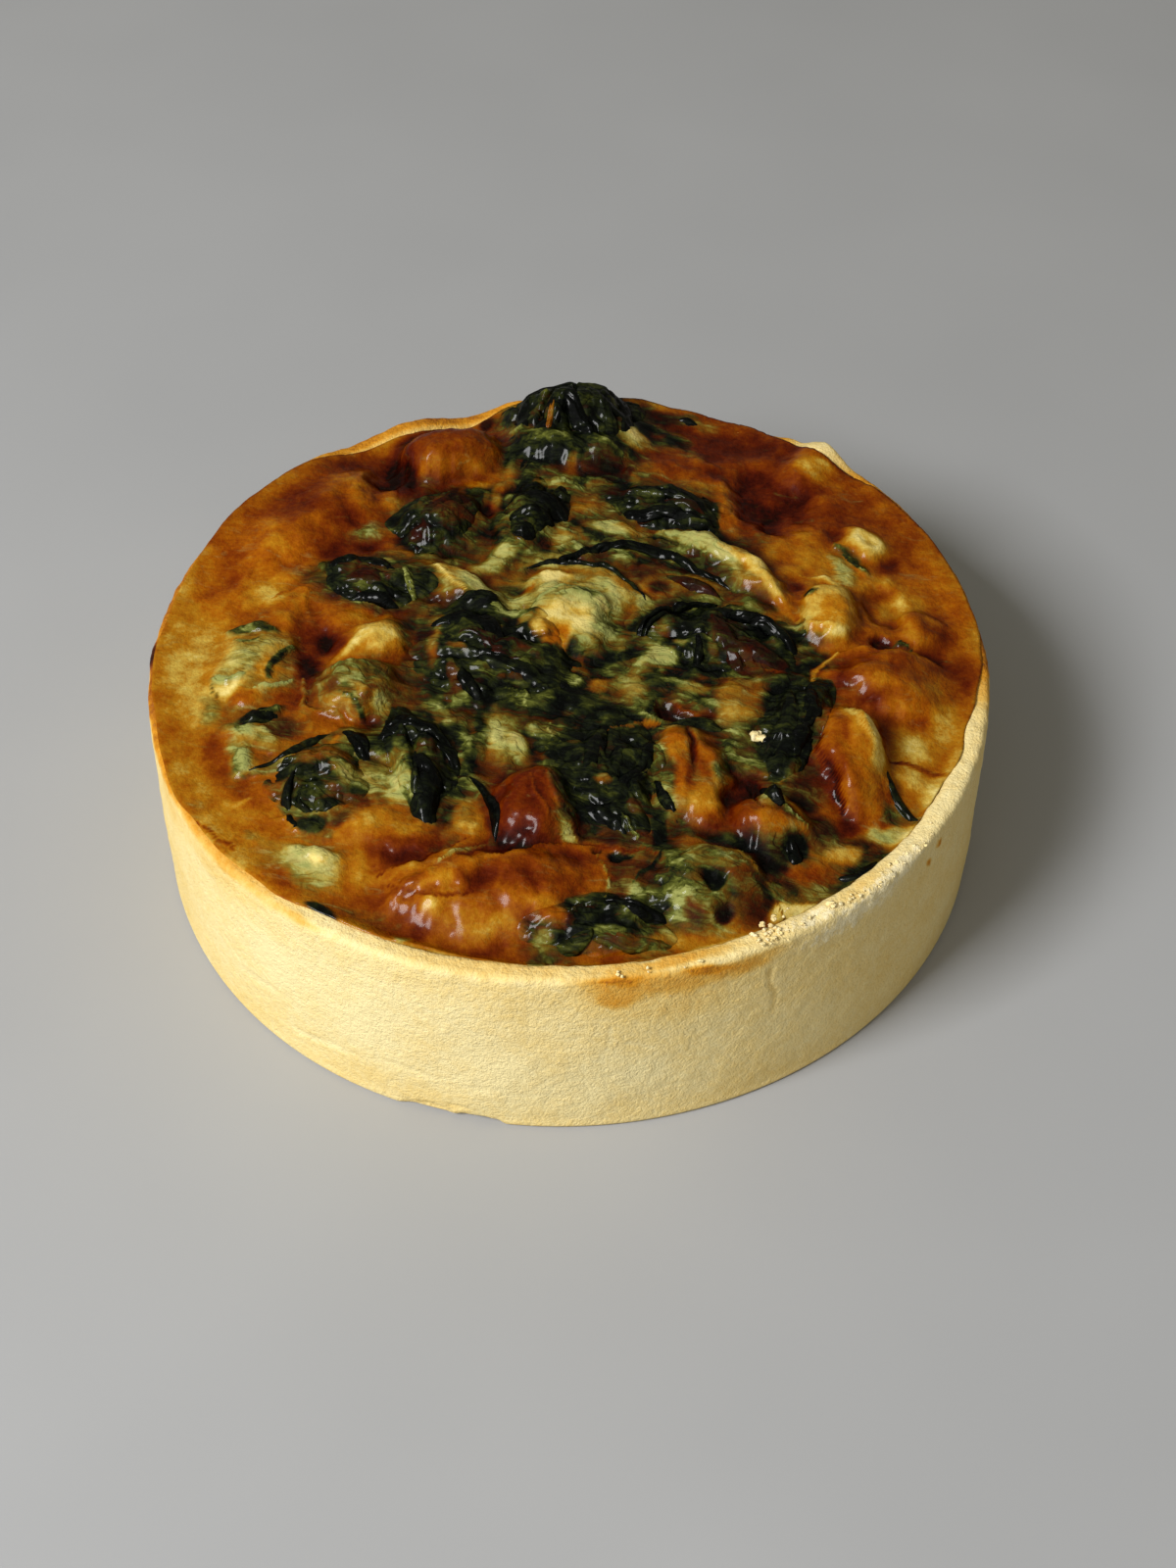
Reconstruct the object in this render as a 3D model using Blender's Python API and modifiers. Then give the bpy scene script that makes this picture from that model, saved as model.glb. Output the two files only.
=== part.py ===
"""A small deep spinach quiche: a pale shortcrust case, the baked custard that fills it, and the
clumps of spinach that lie in the custard's browned, lumpy top.

Run with: blender --background --python part.py
Metres, +Z up. The origin is the centre of the base's underside."""

import math

import bmesh
import bpy
from mathutils import Vector, noise

MM = 0.001

# The pastry case, outside.
RIM_RADIUS = 55.0 * MM
FOOT_RADIUS = 55.2 * MM
CASE_HEIGHT = 28.7 * MM
FOOT_ROUND = 0.7 * MM
RIM_ROUND = 1.0 * MM
RIM_CROWN = 0.1 * MM
WALL_BULGE = 0.2 * MM
OUTER_STATIONS = (0.68, 0.35)  # shares of the height where the outer wall has a profile point
# How the hand-lined wall leaves the round: waves round the case, mm out of round, phase. The wave
# counts are even, so that opposite sides match.
WALL_WAVES = ((2, 0.40, -1.2), (4, 0.12, 1.9))

# The pastry's thickness.
RIM_THICKNESS = 3.2 * MM
FOOT_THICKNESS = 4.6 * MM
FLOOR_THICKNESS = 4.2 * MM
INNER_STATIONS = (0.4, 0.72)
FLOOR_RING = 0.55  # share of the floor's radius where its flat facets divide

GAP = 0.3 * MM  # between touching solids
POCKET_GAP = 0.4 * MM  # round a clump, whose facets cut its corners
WELD = 0.01 * MM
CASE_STEPS = 72
FILLING_STEPS = 72
TOP_RINGS = 14
SIDE_RINGS = 2
ROUND_STEPS = 2
SHARP_ANGLE = math.radians(50)

# How far the rim stands above CASE_HEIGHT, in mm, at each bearing in degrees. The pastry has a nub
# at 48 degrees and dips at 65 and 107.
RIM_LIFT = (
    (0, -0.2), (20, 0.2), (34, 0.6), (43, 0.7), (49, 2.8), (54, 0.6), (60, -0.4), (66, -0.6),
    (74, 0.0), (80, 0.6), (98, 0.6), (107, -1.2), (116, 0.4), (126, -0.2), (135, 1.0), (150, 0.8),
    (166, 0.0), (180, -0.2), (215, -0.5), (245, 0.2), (270, 0.4), (300, 0.2), (330, -0.2),
    (360, -0.2),
)
# How far the custard stops below the rim, in mm, at each bearing in degrees.
FILL_DROP = (
    (0, 0.5), (40, 0.4), (90, 0.6), (130, 0.5), (180, 0.2), (215, 0.2), (245, 1.2), (270, 2.2),
    (290, 1.6), (315, 2.0), (340, 1.0), (360, 0.5),
)
CROWN = 1.2 * MM  # the custard's middle above CASE_HEIGHT
SHOULDER = 0.28  # share of the radius over which the custard rises from its edge
CALM = 0.17  # share of the radius, next to the rim, where the lumps die out
LUMP_STEEPNESS = 1.3  # above 1, a lump is flat-topped with steeper sides

# Lumps and hollows of the custard: x, y, half length, half width and height in mm, then the turn of
# the length from +X in degrees.
LUMPS = (
    (35.5, -20.0, 11.0, 5.2, 4.0, 100),
    (44.0, -6.0, 10.0, 6.5, 2.5, -5),
    (34.0, 6.0, 6.8, 4.6, 2.4, 85),
    (47.0, 4.5, 4.5, 4.2, 1.6, 0),
    (40.0, 22.0, 4.5, 4.0, 1.2, 0),
    (22.0, 15.5, 12.0, 3.6, 2.0, -42),
    (-1.0, 3.5, 5.5, 5.0, 2.6, 0),
    (1.0, 10.0, 10.0, 6.5, 1.8, -10),
    (-18.0, 39.0, 8.5, 7.0, 3.6, 10),
    (-38.0, 28.0, 14.0, 10.0, 1.8, 55),
    (-18.0, 25.0, 6.5, 6.5, 1.6, 0),
    (-15.0, 11.0, 8.5, 3.8, 1.8, -40),
    (-7.0, 23.0, 6.5, 5.0, 1.6, 80),
    (0.0, 43.5, 12.0, 8.5, 2.8, 0),
    (-4.0, -29.0, 6.8, 5.8, 3.0, 80),
    (15.0, -23.5, 9.0, 4.6, 3.2, 95),
    (-10.0, -42.0, 15.0, 7.5, 2.2, 8),
    (18.0, -41.0, 8.0, 6.5, 2.8, 0),
    (-32.0, -38.5, 6.5, 5.0, 1.8, -30),
    (25.0, -30.5, 5.5, 4.5, 1.8, 0),
    (-27.0, -8.5, 6.5, 5.8, 2.6, 0),
    (-26.0, 1.5, 5.0, 4.2, 2.0, 30),
    (-42.0, -3.0, 8.5, 6.0, 1.0, 90),
    (-33.5, 2.5, 7.5, 3.6, -1.4, 100),
    (28.0, 31.0, 9.0, 7.0, -1.4, 120),
    (-26.5, 36.0, 6.5, 3.4, -1.0, 70),
    (41.5, 9.0, 5.0, 3.2, -1.0, 100),
)

# Spinach: name, x, y, half length and half width in mm, turn in degrees, rise above the custard and
# sink into it in mm.
CLUMPS = (
    ("spinach_tuft", 0.0, 48.2, 10.0, 6.6, 0, 6.0, 2.6),
    ("spinach_upper", -4.8, 27.5, 7.4, 4.6, 80, 1.6, 1.4),
    ("spinach_upper_left", -18.8, 24.5, 6.4, 6.0, 30, 1.4, 1.4),
    ("spinach_band", 13.5, 28.0, 9.2, 4.6, -15, 1.5, 1.4),
    ("spinach_leaf_right", 20.0, 2.4, 12.0, 6.4, -12, 1.6, 1.4),
    ("spinach_right", 28.6, -14.2, 9.4, 4.6, 68, 1.6, 1.6),
    ("spinach_centre", -10.0, -1.8, 11.4, 8.4, -12, 2.0, 1.6),
    ("spinach_front_centre", 5.0, -22.0, 10.4, 7.6, 105, 1.8, 1.6),
    ("spinach_curl", -18.6, -20.5, 9.4, 4.4, 105, 2.3, 1.6),
    ("spinach_left", -31.0, -23.5, 6.2, 5.8, 0, 1.5, 1.4),
    ("spinach_left_upper", -26.5, 12.5, 8.4, 4.4, -18, 1.5, 1.4),
    ("spinach_front", 4.5, -45.6, 9.2, 4.0, 4, 1.7, 1.4),
)
CLUMP_SEGMENTS = 14
CLUMP_RINGS = 8
CLUMP_LOBES = ((3, 0.10), (5, 0.07))  # lobes round a clump's outline, share of its size
LEAF_SCALE = 3.2 * MM  # size of the creases in a clump
CREASE = 0.30  # how deep they are, as a share of the clump's rise

# The ring that clears the rim from whatever lies over it.
CUTTER_FOOT = CASE_HEIGHT * 0.6
CUTTER_OVERHANG = 4.0 * MM

CRUST_COLOUR = (0.74, 0.55, 0.29)
CUSTARD_COLOUR = (0.52, 0.22, 0.045)
SPINACH_COLOUR = (0.020, 0.030, 0.010)


def clear_scene():
    for old in list(bpy.data.objects):
        bpy.data.objects.remove(old)


def new_collection(name):
    made = bpy.data.collections.new(name)
    bpy.context.scene.collection.children.link(made)
    return made


def new_material(name, colour, roughness):
    made = bpy.data.materials.new(name)
    made.use_nodes = True
    shader = made.node_tree.nodes["Principled BSDF"]
    shader.inputs["Base Color"].default_value = (*colour, 1.0)
    shader.inputs["Roughness"].default_value = roughness
    shader.inputs["Metallic"].default_value = 0.0
    made.diffuse_color = (*colour, 1.0)
    return made


def smooth(t):
    """0 to 1 with level ends."""
    t = min(1.0, max(0.0, t))
    return t * t * (3.0 - 2.0 * t)


def around(table, bearing):
    """A table's value in metres at a bearing in radians, eased between its rows."""
    degrees = math.degrees(bearing) % 360.0
    for (start, low), (end, high) in zip(table, table[1:]):
        if degrees <= end:
            return (low + (high - low) * smooth((degrees - start) / (end - start))) * MM
    return table[-1][1] * MM


def wobble(bearing):
    """How far the wall stands out of round."""
    return sum(size * MM * math.cos(count * bearing + phase) for count, size, phase in WALL_WAVES)


def outer_radius(height):
    share = height / CASE_HEIGHT
    bulge = WALL_BULGE * math.sin(math.pi * share)
    return FOOT_RADIUS + (RIM_RADIUS - FOOT_RADIUS) * share + bulge


def inner_radius(height):
    share = height / CASE_HEIGHT
    return outer_radius(height) - FOOT_THICKNESS + (FOOT_THICKNESS - RIM_THICKNESS) * share


def warped(point):
    """A point of the true turned shape, moved to the uneven hand-lined case's shape."""
    bearing = math.atan2(point.y, point.x)
    lift = around(RIM_LIFT, bearing) * smooth(point.z / CASE_HEIGHT)
    out = 1.0 + wobble(bearing) / RIM_RADIUS
    return Vector((point.x * out, point.y * out, point.z + lift))


def lump_height(x, y):
    total = 0.0
    for cx, cy, length, width, height, turn in LUMPS:
        dx, dy = x / MM - cx, y / MM - cy
        cos, sin = math.cos(math.radians(turn)), math.sin(math.radians(turn))
        along, across = dx * cos + dy * sin, dy * cos - dx * sin
        near = 1.0 - (along / length) ** 2 - (across / width) ** 2
        if near > 0.0:
            total += height * MM * smooth(near * LUMP_STEEPNESS)
    return total


def custard_level(x, y):
    """Height of the custard's top: its edge just under the rim, its crown, and its lumps."""
    bearing = math.atan2(y, x)
    edge = CASE_HEIGHT + around(RIM_LIFT, bearing) - around(FILL_DROP, bearing)
    reach = math.hypot(x, y) / inner_radius(CASE_HEIGHT)
    crown = CASE_HEIGHT + CROWN
    rise = (crown - edge) * smooth((1.0 - reach) / SHOULDER)
    return edge + rise + lump_height(x, y) * smooth((1.0 - reach) / CALM)


def arc(centre_r, centre_z, radius, start, end):
    """Profile points along a round edge, angles in degrees from outward."""
    points = []
    for i in range(ROUND_STEPS + 1):
        angle = math.radians(start + (end - start) * i / ROUND_STEPS)
        points.append((centre_r + radius * math.cos(angle), centre_z + radius * math.sin(angle)))
    return points


def turned(name, profile, steps, collection, material):
    """A profile of (radius, height) points, inner top to outer foot, turned round +Z into a mesh."""
    mesh = bpy.data.meshes.new(name)
    edges = [(i, i + 1) for i in range(len(profile) - 1)]
    mesh.from_pydata([(r, 0.0, z) for r, z in profile], edges, [])
    guide = bpy.data.objects.new(name, mesh)
    collection.objects.link(guide)
    screw = guide.modifiers.new("Turn", "SCREW")
    screw.steps = steps
    screw.render_steps = steps
    screw.use_merge_vertices = True
    screw.merge_threshold = WELD
    bpy.context.view_layer.update()
    shown = guide.evaluated_get(bpy.context.evaluated_depsgraph_get())
    guide.data = bpy.data.meshes.new_from_object(shown)
    guide.data.name = name
    guide.modifiers.clear()
    guide.data.materials.clear()
    guide.data.materials.append(material)
    return guide


def move_points(piece, rule):
    for vertex in piece.data.vertices:
        vertex.co = rule(vertex.co.copy())
    piece.data.update()


def finish_shading(piece):
    piece.data.shade_smooth()
    piece.data.set_sharp_from_angle(angle=SHARP_ANGLE)


def make_case(collection, material):
    """The pastry: floor, rounded foot, near-upright wall and rounded, uneven rim."""
    floor_radius = inner_radius(FLOOR_THICKNESS)
    floor_ring = floor_radius * FLOOR_RING
    profile = [(r, FLOOR_THICKNESS) for r in (0.0, floor_ring, floor_radius)]
    profile += [(inner_radius(CASE_HEIGHT * share), CASE_HEIGHT * share) for share in INNER_STATIONS]
    inner_edge = inner_radius(CASE_HEIGHT) + RIM_ROUND
    outer_edge = RIM_RADIUS - RIM_ROUND
    profile += arc(inner_edge, CASE_HEIGHT - RIM_ROUND, RIM_ROUND, 180, 90)
    profile.append((RIM_RADIUS - RIM_THICKNESS / 2, CASE_HEIGHT + RIM_CROWN))
    profile += arc(outer_edge, CASE_HEIGHT - RIM_ROUND, RIM_ROUND, 90, 0)
    profile += [(outer_radius(CASE_HEIGHT * share), CASE_HEIGHT * share) for share in OUTER_STATIONS]
    profile += arc(FOOT_RADIUS - FOOT_ROUND, FOOT_ROUND, FOOT_ROUND, 0, -90)
    profile += [(floor_ring, 0.0), (0.0, 0.0)]
    case = turned("pastry_case", profile, CASE_STEPS, collection, material)
    move_points(case, warped)
    finish_shading(case)
    return case


def make_filling(collection, material):
    """The custard: a plug that fits the case, with the lumpy baked surface on top."""
    top_radius = inner_radius(CASE_HEIGHT) - GAP
    foot_level = FLOOR_THICKNESS + GAP
    foot_radius = inner_radius(foot_level) - GAP
    profile = [(top_radius * i / TOP_RINGS, CASE_HEIGHT) for i in range(TOP_RINGS + 1)]
    for i in range(1, SIDE_RINGS + 1):
        height = CASE_HEIGHT + (foot_level - CASE_HEIGHT) * i / SIDE_RINGS
        profile.append((inner_radius(height) - GAP, height))
    profile += [(foot_radius * FLOOR_RING, foot_level), (0.0, foot_level)]

    def settle(point):
        at = warped(point)
        if point.z > CASE_HEIGHT - WELD:
            at.z = custard_level(point.x, point.y)
        return at

    filling = turned("filling", profile, FILLING_STEPS, collection, material)
    move_points(filling, settle)
    finish_shading(filling)
    return filling


def make_clump(row, grow, collection, material, suffix=""):
    """A lens of matted leaves that follows the custard's top, grown all round by grow for its pocket."""
    name, cx, cy, length, width, turn, rise, sink = row
    cos, sin = math.cos(math.radians(turn)), math.sin(math.radians(turn))
    bm = bmesh.new()
    bmesh.ops.create_uvsphere(bm, u_segments=CLUMP_SEGMENTS, v_segments=CLUMP_RINGS, radius=1.0)
    bmesh.ops.triangulate(bm, faces=bm.faces)
    for vertex in bm.verts:
        u, v, w = vertex.co
        bearing = math.atan2(v, u)
        lobe = 1.0 + sum(share * math.cos(count * bearing + cx + cy) for count, share in CLUMP_LOBES)
        along = length * MM * lobe * u
        across = width * MM * lobe * v
        x = cx * MM + along * cos - across * sin
        y = cy * MM + along * sin + across * cos
        crumple = 1.0 + CREASE * noise.noise(Vector((x, y, 0.0)) / LEAF_SCALE)
        thickness = rise * MM * crumple if w > 0.0 else sink * MM
        vertex.co = (x, y, custard_level(x, y) + thickness * w)
    bm.normal_update()
    outward = [vertex.normal * grow for vertex in bm.verts]
    for vertex, step in zip(bm.verts, outward):
        vertex.co += step
    mesh = bpy.data.meshes.new(name + suffix)
    bm.to_mesh(mesh)
    bm.free()
    mesh.materials.append(material)
    clump = bpy.data.objects.new(name + suffix, mesh)
    collection.objects.link(clump)
    finish_shading(clump)
    return clump


def make_rim_cutter(collection, material):
    """The room that the case's rim takes, with its gap, from whatever lies over it."""
    inside = inner_radius(CUTTER_FOOT) - GAP
    outside = RIM_RADIUS + CUTTER_OVERHANG
    high = CASE_HEIGHT + RIM_CROWN + GAP
    profile = [(inside, CUTTER_FOOT), (inside, high), (outside, high), (outside, CUTTER_FOOT)]
    cutter = turned("rim_cutter", profile + profile[:1], CASE_STEPS, collection, material)
    bm = bmesh.new()
    bm.from_mesh(cutter.data)
    bmesh.ops.remove_doubles(bm, verts=bm.verts, dist=WELD)
    bm.to_mesh(cutter.data)
    bm.free()
    move_points(cutter, warped)
    return as_cutter(cutter)


def as_cutter(piece):
    piece.hide_render = True
    piece.display_type = "WIRE"
    return piece


def cut(piece, cutter):
    boolean = piece.modifiers.new("Less " + cutter.name, "BOOLEAN")
    boolean.operation = "DIFFERENCE"
    boolean.object = cutter
    boolean.solver = "EXACT"


def build():
    clear_scene()
    quiche = new_collection("spinach_quiche")
    cutters = new_collection("cutters")
    crust = new_material("crust", CRUST_COLOUR, 0.85)
    custard = new_material("custard", CUSTARD_COLOUR, 0.35)
    spinach = new_material("spinach", SPINACH_COLOUR, 0.3)

    make_case(quiche, crust)
    filling = make_filling(quiche, custard)
    rim_cutter = make_rim_cutter(cutters, crust)
    for row in CLUMPS:
        clump = make_clump(row, 0.0, quiche, spinach)
        pocket = make_clump(row, POCKET_GAP, cutters, spinach, "_pocket")
        cut(filling, as_cutter(pocket))
        if row[0] == "spinach_tuft":
            cut(clump, rim_cutter)


build()
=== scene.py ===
import itertools
import math

import bpy
import numpy as np
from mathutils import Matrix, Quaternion, Vector


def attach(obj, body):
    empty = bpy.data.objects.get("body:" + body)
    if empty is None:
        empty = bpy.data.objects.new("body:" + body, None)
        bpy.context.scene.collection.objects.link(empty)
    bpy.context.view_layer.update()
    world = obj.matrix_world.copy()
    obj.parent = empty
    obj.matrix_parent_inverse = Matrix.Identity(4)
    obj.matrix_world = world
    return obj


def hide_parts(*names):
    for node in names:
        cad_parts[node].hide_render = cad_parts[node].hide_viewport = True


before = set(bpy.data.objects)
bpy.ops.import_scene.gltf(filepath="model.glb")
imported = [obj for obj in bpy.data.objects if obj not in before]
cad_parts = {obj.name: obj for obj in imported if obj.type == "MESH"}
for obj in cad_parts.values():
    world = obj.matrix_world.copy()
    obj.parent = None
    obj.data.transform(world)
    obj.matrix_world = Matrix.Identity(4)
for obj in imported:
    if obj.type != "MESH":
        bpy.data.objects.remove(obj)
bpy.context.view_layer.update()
MM = 0.001

# ---------------------------------------------------------------- sizes, in mm
# Those of the solids, but for the custard's edge, which follows the rim more closely here.
RIM_RADIUS = 55.0
FOOT_RADIUS = 55.2
CASE_HEIGHT = 28.7
FOOT_ROUND = 0.7
RIM_ROUND = 1.0
WALL_BULGE = 0.2
WALL_WAVES = ((2, 0.40, -1.2), (4, 0.12, 1.9))  # waves round the wall: count, size, phase
RIM_THICKNESS = 3.2
FOOT_THICKNESS = 4.6
FLOOR_THICKNESS = 4.2
CLEARANCE = 0.3  # between the custard and the case
CROWN = 1.2  # rise of the custard's middle above the case
SHOULDER = 0.28  # share of the radius over which it rises from its edge
CALM = 0.17  # share of the radius over which its bumps fade towards the edge
# Bearing in degrees, and how far the rim stands above the case's height there.
RIM_LIFT = (
    (0, -0.2), (20, 0.2), (34, 0.6), (43, 0.7), (49, 2.8), (54, 0.6), (60, -0.4), (66, -0.6),
    (74, 0.0), (80, 0.6), (98, 0.6), (107, -1.2), (116, 0.4), (126, -0.2), (135, 1.0), (150, 0.8),
    (166, 0.0), (180, -0.2), (215, -0.5), (245, 0.2), (270, 0.4), (300, 0.2), (330, -0.2),
    (360, -0.2),
)
# Bearing, and how far the custard's edge lies below the rim.
FILL_DROP = (
    (0, 0.1), (90, 0.1), (105, 0.5), (122, 0.5), (135, 0.0), (215, 0.0), (232, 0.5), (245, 1.2),
    (270, 2.2), (290, 1.6), (315, 2.0), (340, 1.0), (352, 0.4), (360, 0.1),
)
# Bearing, and radius of the custard's edge: it ran over the rim at the left.
CUSTARD_EDGE = (
    (0, 54.1), (10, 54.3), (34, 54.3), (43, 53.0), (49, 52.2), (55, 53.4), (62, 54.2), (84, 54.0),
    (100, 53.0), (108, 51.9), (122, 52.0), (132, 53.6), (145, 54.2), (180, 54.2), (205, 54.3),
    (218, 54.2), (229, 53.5), (240, 52.3), (250, 51.8), (300, 51.7), (330, 51.9), (345, 52.4),
    (352, 53.2), (360, 54.1),
)


# ---------------------------------------------------------------- noise and curves
LATTICE = np.random.default_rng(7).uniform(-1.0, 1.0, 8192)
PRIMES = (73856093, 19349663, 83492791)


def grain(points, scale, seed):
    """Smooth random values in -1..1, about one bump for each scale mm, at points given per axis."""
    cells, parts = [], []
    for axis, values in enumerate(points):
        spread = np.asarray(values, dtype=float) / scale + 31.7 * seed + 11.3 * axis
        cell = np.floor(spread)
        part = spread - cell
        cells.append(cell.astype(np.int64))
        parts.append(part * part * part * (part * (part * 6.0 - 15.0) + 10.0))
    total = 0.0
    for corner in itertools.product((0, 1), repeat=len(points)):
        key = seed * 7919
        weight = 1.0
        for step, cell, part, prime in zip(corner, cells, parts, PRIMES):
            key = key ^ ((cell + step) * prime)
            weight = weight * (part if step else 1.0 - part)
        total = total + LATTICE[key % LATTICE.size] * weight
    return total


def layered(shape, points, scale, octaves, seed):
    """Grain at halving scales, each put through shape, as a share of the most that it can be."""
    total, most = 0.0, 0.0
    for octave in range(octaves):
        share = 0.5 ** octave
        total = total + share * shape(grain(points, scale * share, seed + octave))
        most += share
    return total / most


def clouds(points, scale, octaves, seed):
    """Soft bumps in -1..1."""
    return layered(np.asarray, points, scale, octaves, seed)


def creases(points, scale, octaves, seed):
    """0 in the crease lines, up to 1 between them."""
    return np.clip(2.0 * layered(np.abs, points, scale, octaves, seed), 0.0, 1.0)


def smooth(t):
    """Eases from 0 to 1 as t does."""
    t = np.clip(t, 0.0, 1.0)
    return t * t * (3.0 - 2.0 * t)


def between(low, high, value):
    """Eases from 0 at low to 1 at high."""
    return smooth((value - low) / (high - low))


def mixed(first, second, share):
    """The first value with a share of the second."""
    first, second = np.asarray(first, dtype=float), np.asarray(second, dtype=float)
    return first * (1.0 - share) + second * share


def cos_sin(degrees):
    return math.cos(math.radians(degrees)), math.sin(math.radians(degrees))


def around(table, bearing):
    """A table's value at bearings in radians, eased between its rows."""
    degrees = np.degrees(bearing) % 360.0
    starts = np.array([row[0] for row in table], dtype=float)
    values = np.array([row[1] for row in table], dtype=float)
    row = np.clip(np.searchsorted(starts, degrees, side="right") - 1, 0, len(table) - 2)
    share = (degrees - starts[row]) / (starts[row + 1] - starts[row])
    return values[row] + (values[row + 1] - values[row]) * smooth(share)


def run_places(points, step):
    """Even places along a smooth curve through the points."""
    knots = np.array(points, dtype=float)
    ends = np.concatenate([[2 * knots[0] - knots[1]], knots, [2 * knots[-1] - knots[-2]]])
    line = []
    for a, b, c, d in zip(ends, ends[1:], ends[2:], ends[3:]):
        t = np.linspace(0.0, 1.0, 12, endpoint=False)[:, None]
        square, cube = 2 * a - 5 * b + 4 * c - d, 3 * b - a - 3 * c + d
        line.append(0.5 * (2 * b + (c - a) * t + square * t ** 2 + cube * t ** 3))
    line = np.concatenate(line + [knots[-1:]])
    length = np.concatenate([[0.0], np.cumsum(np.linalg.norm(np.diff(line, axis=0), axis=1))])
    even = np.linspace(0.0, length[-1], max(3, int(round(length[-1] / step)) + 1))
    return np.stack([np.interp(even, length, line[:, axis]) for axis in range(line.shape[1])], 1)


def run_ahead(line):
    """Unit direction at each place of a run."""
    ahead = np.gradient(line, axis=0)
    return ahead / np.linalg.norm(ahead, axis=1)[:, None]


# ---------------------------------------------------------------- the case's shape
def wobble(bearing):
    """How far the wall stands out of round."""
    return sum(size * np.cos(count * bearing + phase) for count, size, phase in WALL_WAVES)


def outer_radius(height):
    share = height / CASE_HEIGHT
    return FOOT_RADIUS + (RIM_RADIUS - FOOT_RADIUS) * share + WALL_BULGE * np.sin(math.pi * share)


def inner_radius(height):
    share = height / CASE_HEIGHT
    return outer_radius(height) - FOOT_THICKNESS + (FOOT_THICKNESS - RIM_THICKNESS) * share


# ---------------------------------------------------------------- the custard's top
# Broad lumps: x, y, half length, half width, height, turn of the length in degrees. They are the
# solid's lumps, six of them changed a little to suit the paint on them.
LUMPS = (
    (35.8, -19.8, 11.0, 5.2, 3.4, 100),
    (44.0, -6.0, 10.0, 6.5, 2.5, -5),
    (34.0, 6.0, 6.8, 4.6, 2.4, 85),
    (47.0, 4.5, 4.5, 4.2, 1.6, 0),
    (40.0, 22.0, 4.5, 4.0, 1.2, 0),
    (22.0, 15.5, 12.0, 3.6, 2.0, -42),
    (-0.6, 3.6, 7.2, 6.4, 2.3, 0),
    (1.0, 10.0, 10.0, 6.5, 1.8, -10),
    (-18.0, 40.0, 8.5, 7.0, 4.3, 10),
    (-38.0, 28.0, 14.0, 10.0, 1.8, 55),
    (-18.0, 25.0, 6.5, 6.5, 1.6, 0),
    (-15.0, 11.0, 8.5, 3.8, 1.8, -40),
    (-7.0, 23.0, 6.5, 5.0, 1.6, 80),
    (0.0, 43.5, 12.0, 8.5, 2.8, 0),
    (-4.0, -29.0, 6.8, 5.8, 3.0, 80),
    (15.2, -23.0, 10.0, 5.6, 2.2, 95),
    (-10.0, -42.0, 15.0, 7.5, 2.2, 8),
    (18.0, -41.0, 8.0, 6.5, 2.8, 0),
    (-32.0, -38.5, 6.5, 5.0, 1.8, -30),
    (25.0, -30.5, 5.5, 4.5, 1.8, 0),
    (-27.0, -8.5, 6.5, 5.8, 2.6, 0),
    (-25.6, 0.8, 6.2, 4.6, 1.4, 30),
    (-42.0, -3.0, 8.5, 6.0, 1.0, 90),
    (-33.8, 1.0, 8.5, 3.2, -1.0, 96),
    (28.0, 31.0, 9.0, 7.0, -1.4, 120),
    (-26.5, 36.0, 6.5, 3.4, -1.0, 70),
    (41.5, 9.0, 5.0, 3.2, -1.0, 100),
)
LUMP_STEEPNESS = 1.15

# Looks of the baked top: how browned, share of spinach, how dark the spinach.
PALETTE = {
    "cream": (0.03, 0.00, 0.15),
    "butter": (0.15, 0.00, 0.20),
    "gold": (0.31, 0.00, 0.20),
    "amber": (0.42, 0.00, 0.30),
    "glow": (0.47, 0.00, 0.00),
    "orange": (0.54, 0.00, 0.25),
    "rust": (0.66, 0.00, 0.40),
    "brown": (0.76, 0.00, 0.45),
    "oxblood": (0.86, 0.00, 0.45),
    "pale": (0.08, 0.62, 0.05),
    "sage": (0.20, 0.92, 0.26),
    "lime": (0.26, 0.56, 0.28),
    "ochre": (0.42, 0.34, 0.40),
    "olive": (0.48, 0.70, 0.48),
    "bark": (0.74, 0.45, 0.60),
    "umber": (0.84, 0.55, 0.78),
    "moss": (0.34, 0.90, 0.55),
    "murk": (0.56, 0.82, 0.74),
    "leaf": (0.55, 1.00, 0.78),
    "black": (0.90, 1.00, 0.95),
}

# Patches: look, x, y, half length, half width, turn, height added, softness of the outline.
# Broad washes come first; the patches after them are laid one over the other.
ZONES = (
    ("rust", -36, 28, 14, 12, 50, 0, 1.0), ("rust", 33, 34, 20, 10, -48, 0, 1.0),
    ("rust", 44, -4, 10, 6, -5, 0, 1.0), ("rust", -10, -40, 16, 8, 8, 0, 1.0),
    ("brown", 22, 42, 12, 6, -25, 0, 1.0), ("amber", -47, -18, 5, 20, 12, 0, 1.0),
    ("amber", 45, 12, 6, 12, 12, 0, 1.0), ("ochre", -40, -8, 8, 14, 0, 0, 0.9),
    ("murk", -7, 25, 18, 11, 0, 0, 0.5), ("murk", 12, 24, 16, 10, -28, 0, 0.5),
    ("murk", -8, -1, 17, 12, -8, 0, 0.4), ("murk", 4, -20, 13, 14, 10, 0, 0.4),
    ("murk", 20, 0, 15, 12, -15, 0, 0.4), ("murk", 26, -16, 7, 14, -15, 0, 0.4),
    ("leaf", 1, 45, 13, 12, 0, 0, 0.5), ("murk", -18, -21, 8, 13, 10, 0, 0.5),
    ("murk", 4, -46, 10, 5, 4, 0, 0.5), ("murk", 19, -38, 12, 7, 0, 0, 0.5),
    ("murk", -27, 13, 10, 6, -15, 0, 0.5), ("murk", 34, -36, 7, 4, 35, 0, 0.6),
    ("lime", -1, 10, 11, 6.4, -8, 0, 0.8), ("lime", 3, 2.4, 5, 3, -10, 0, 0.8),
)
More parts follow.
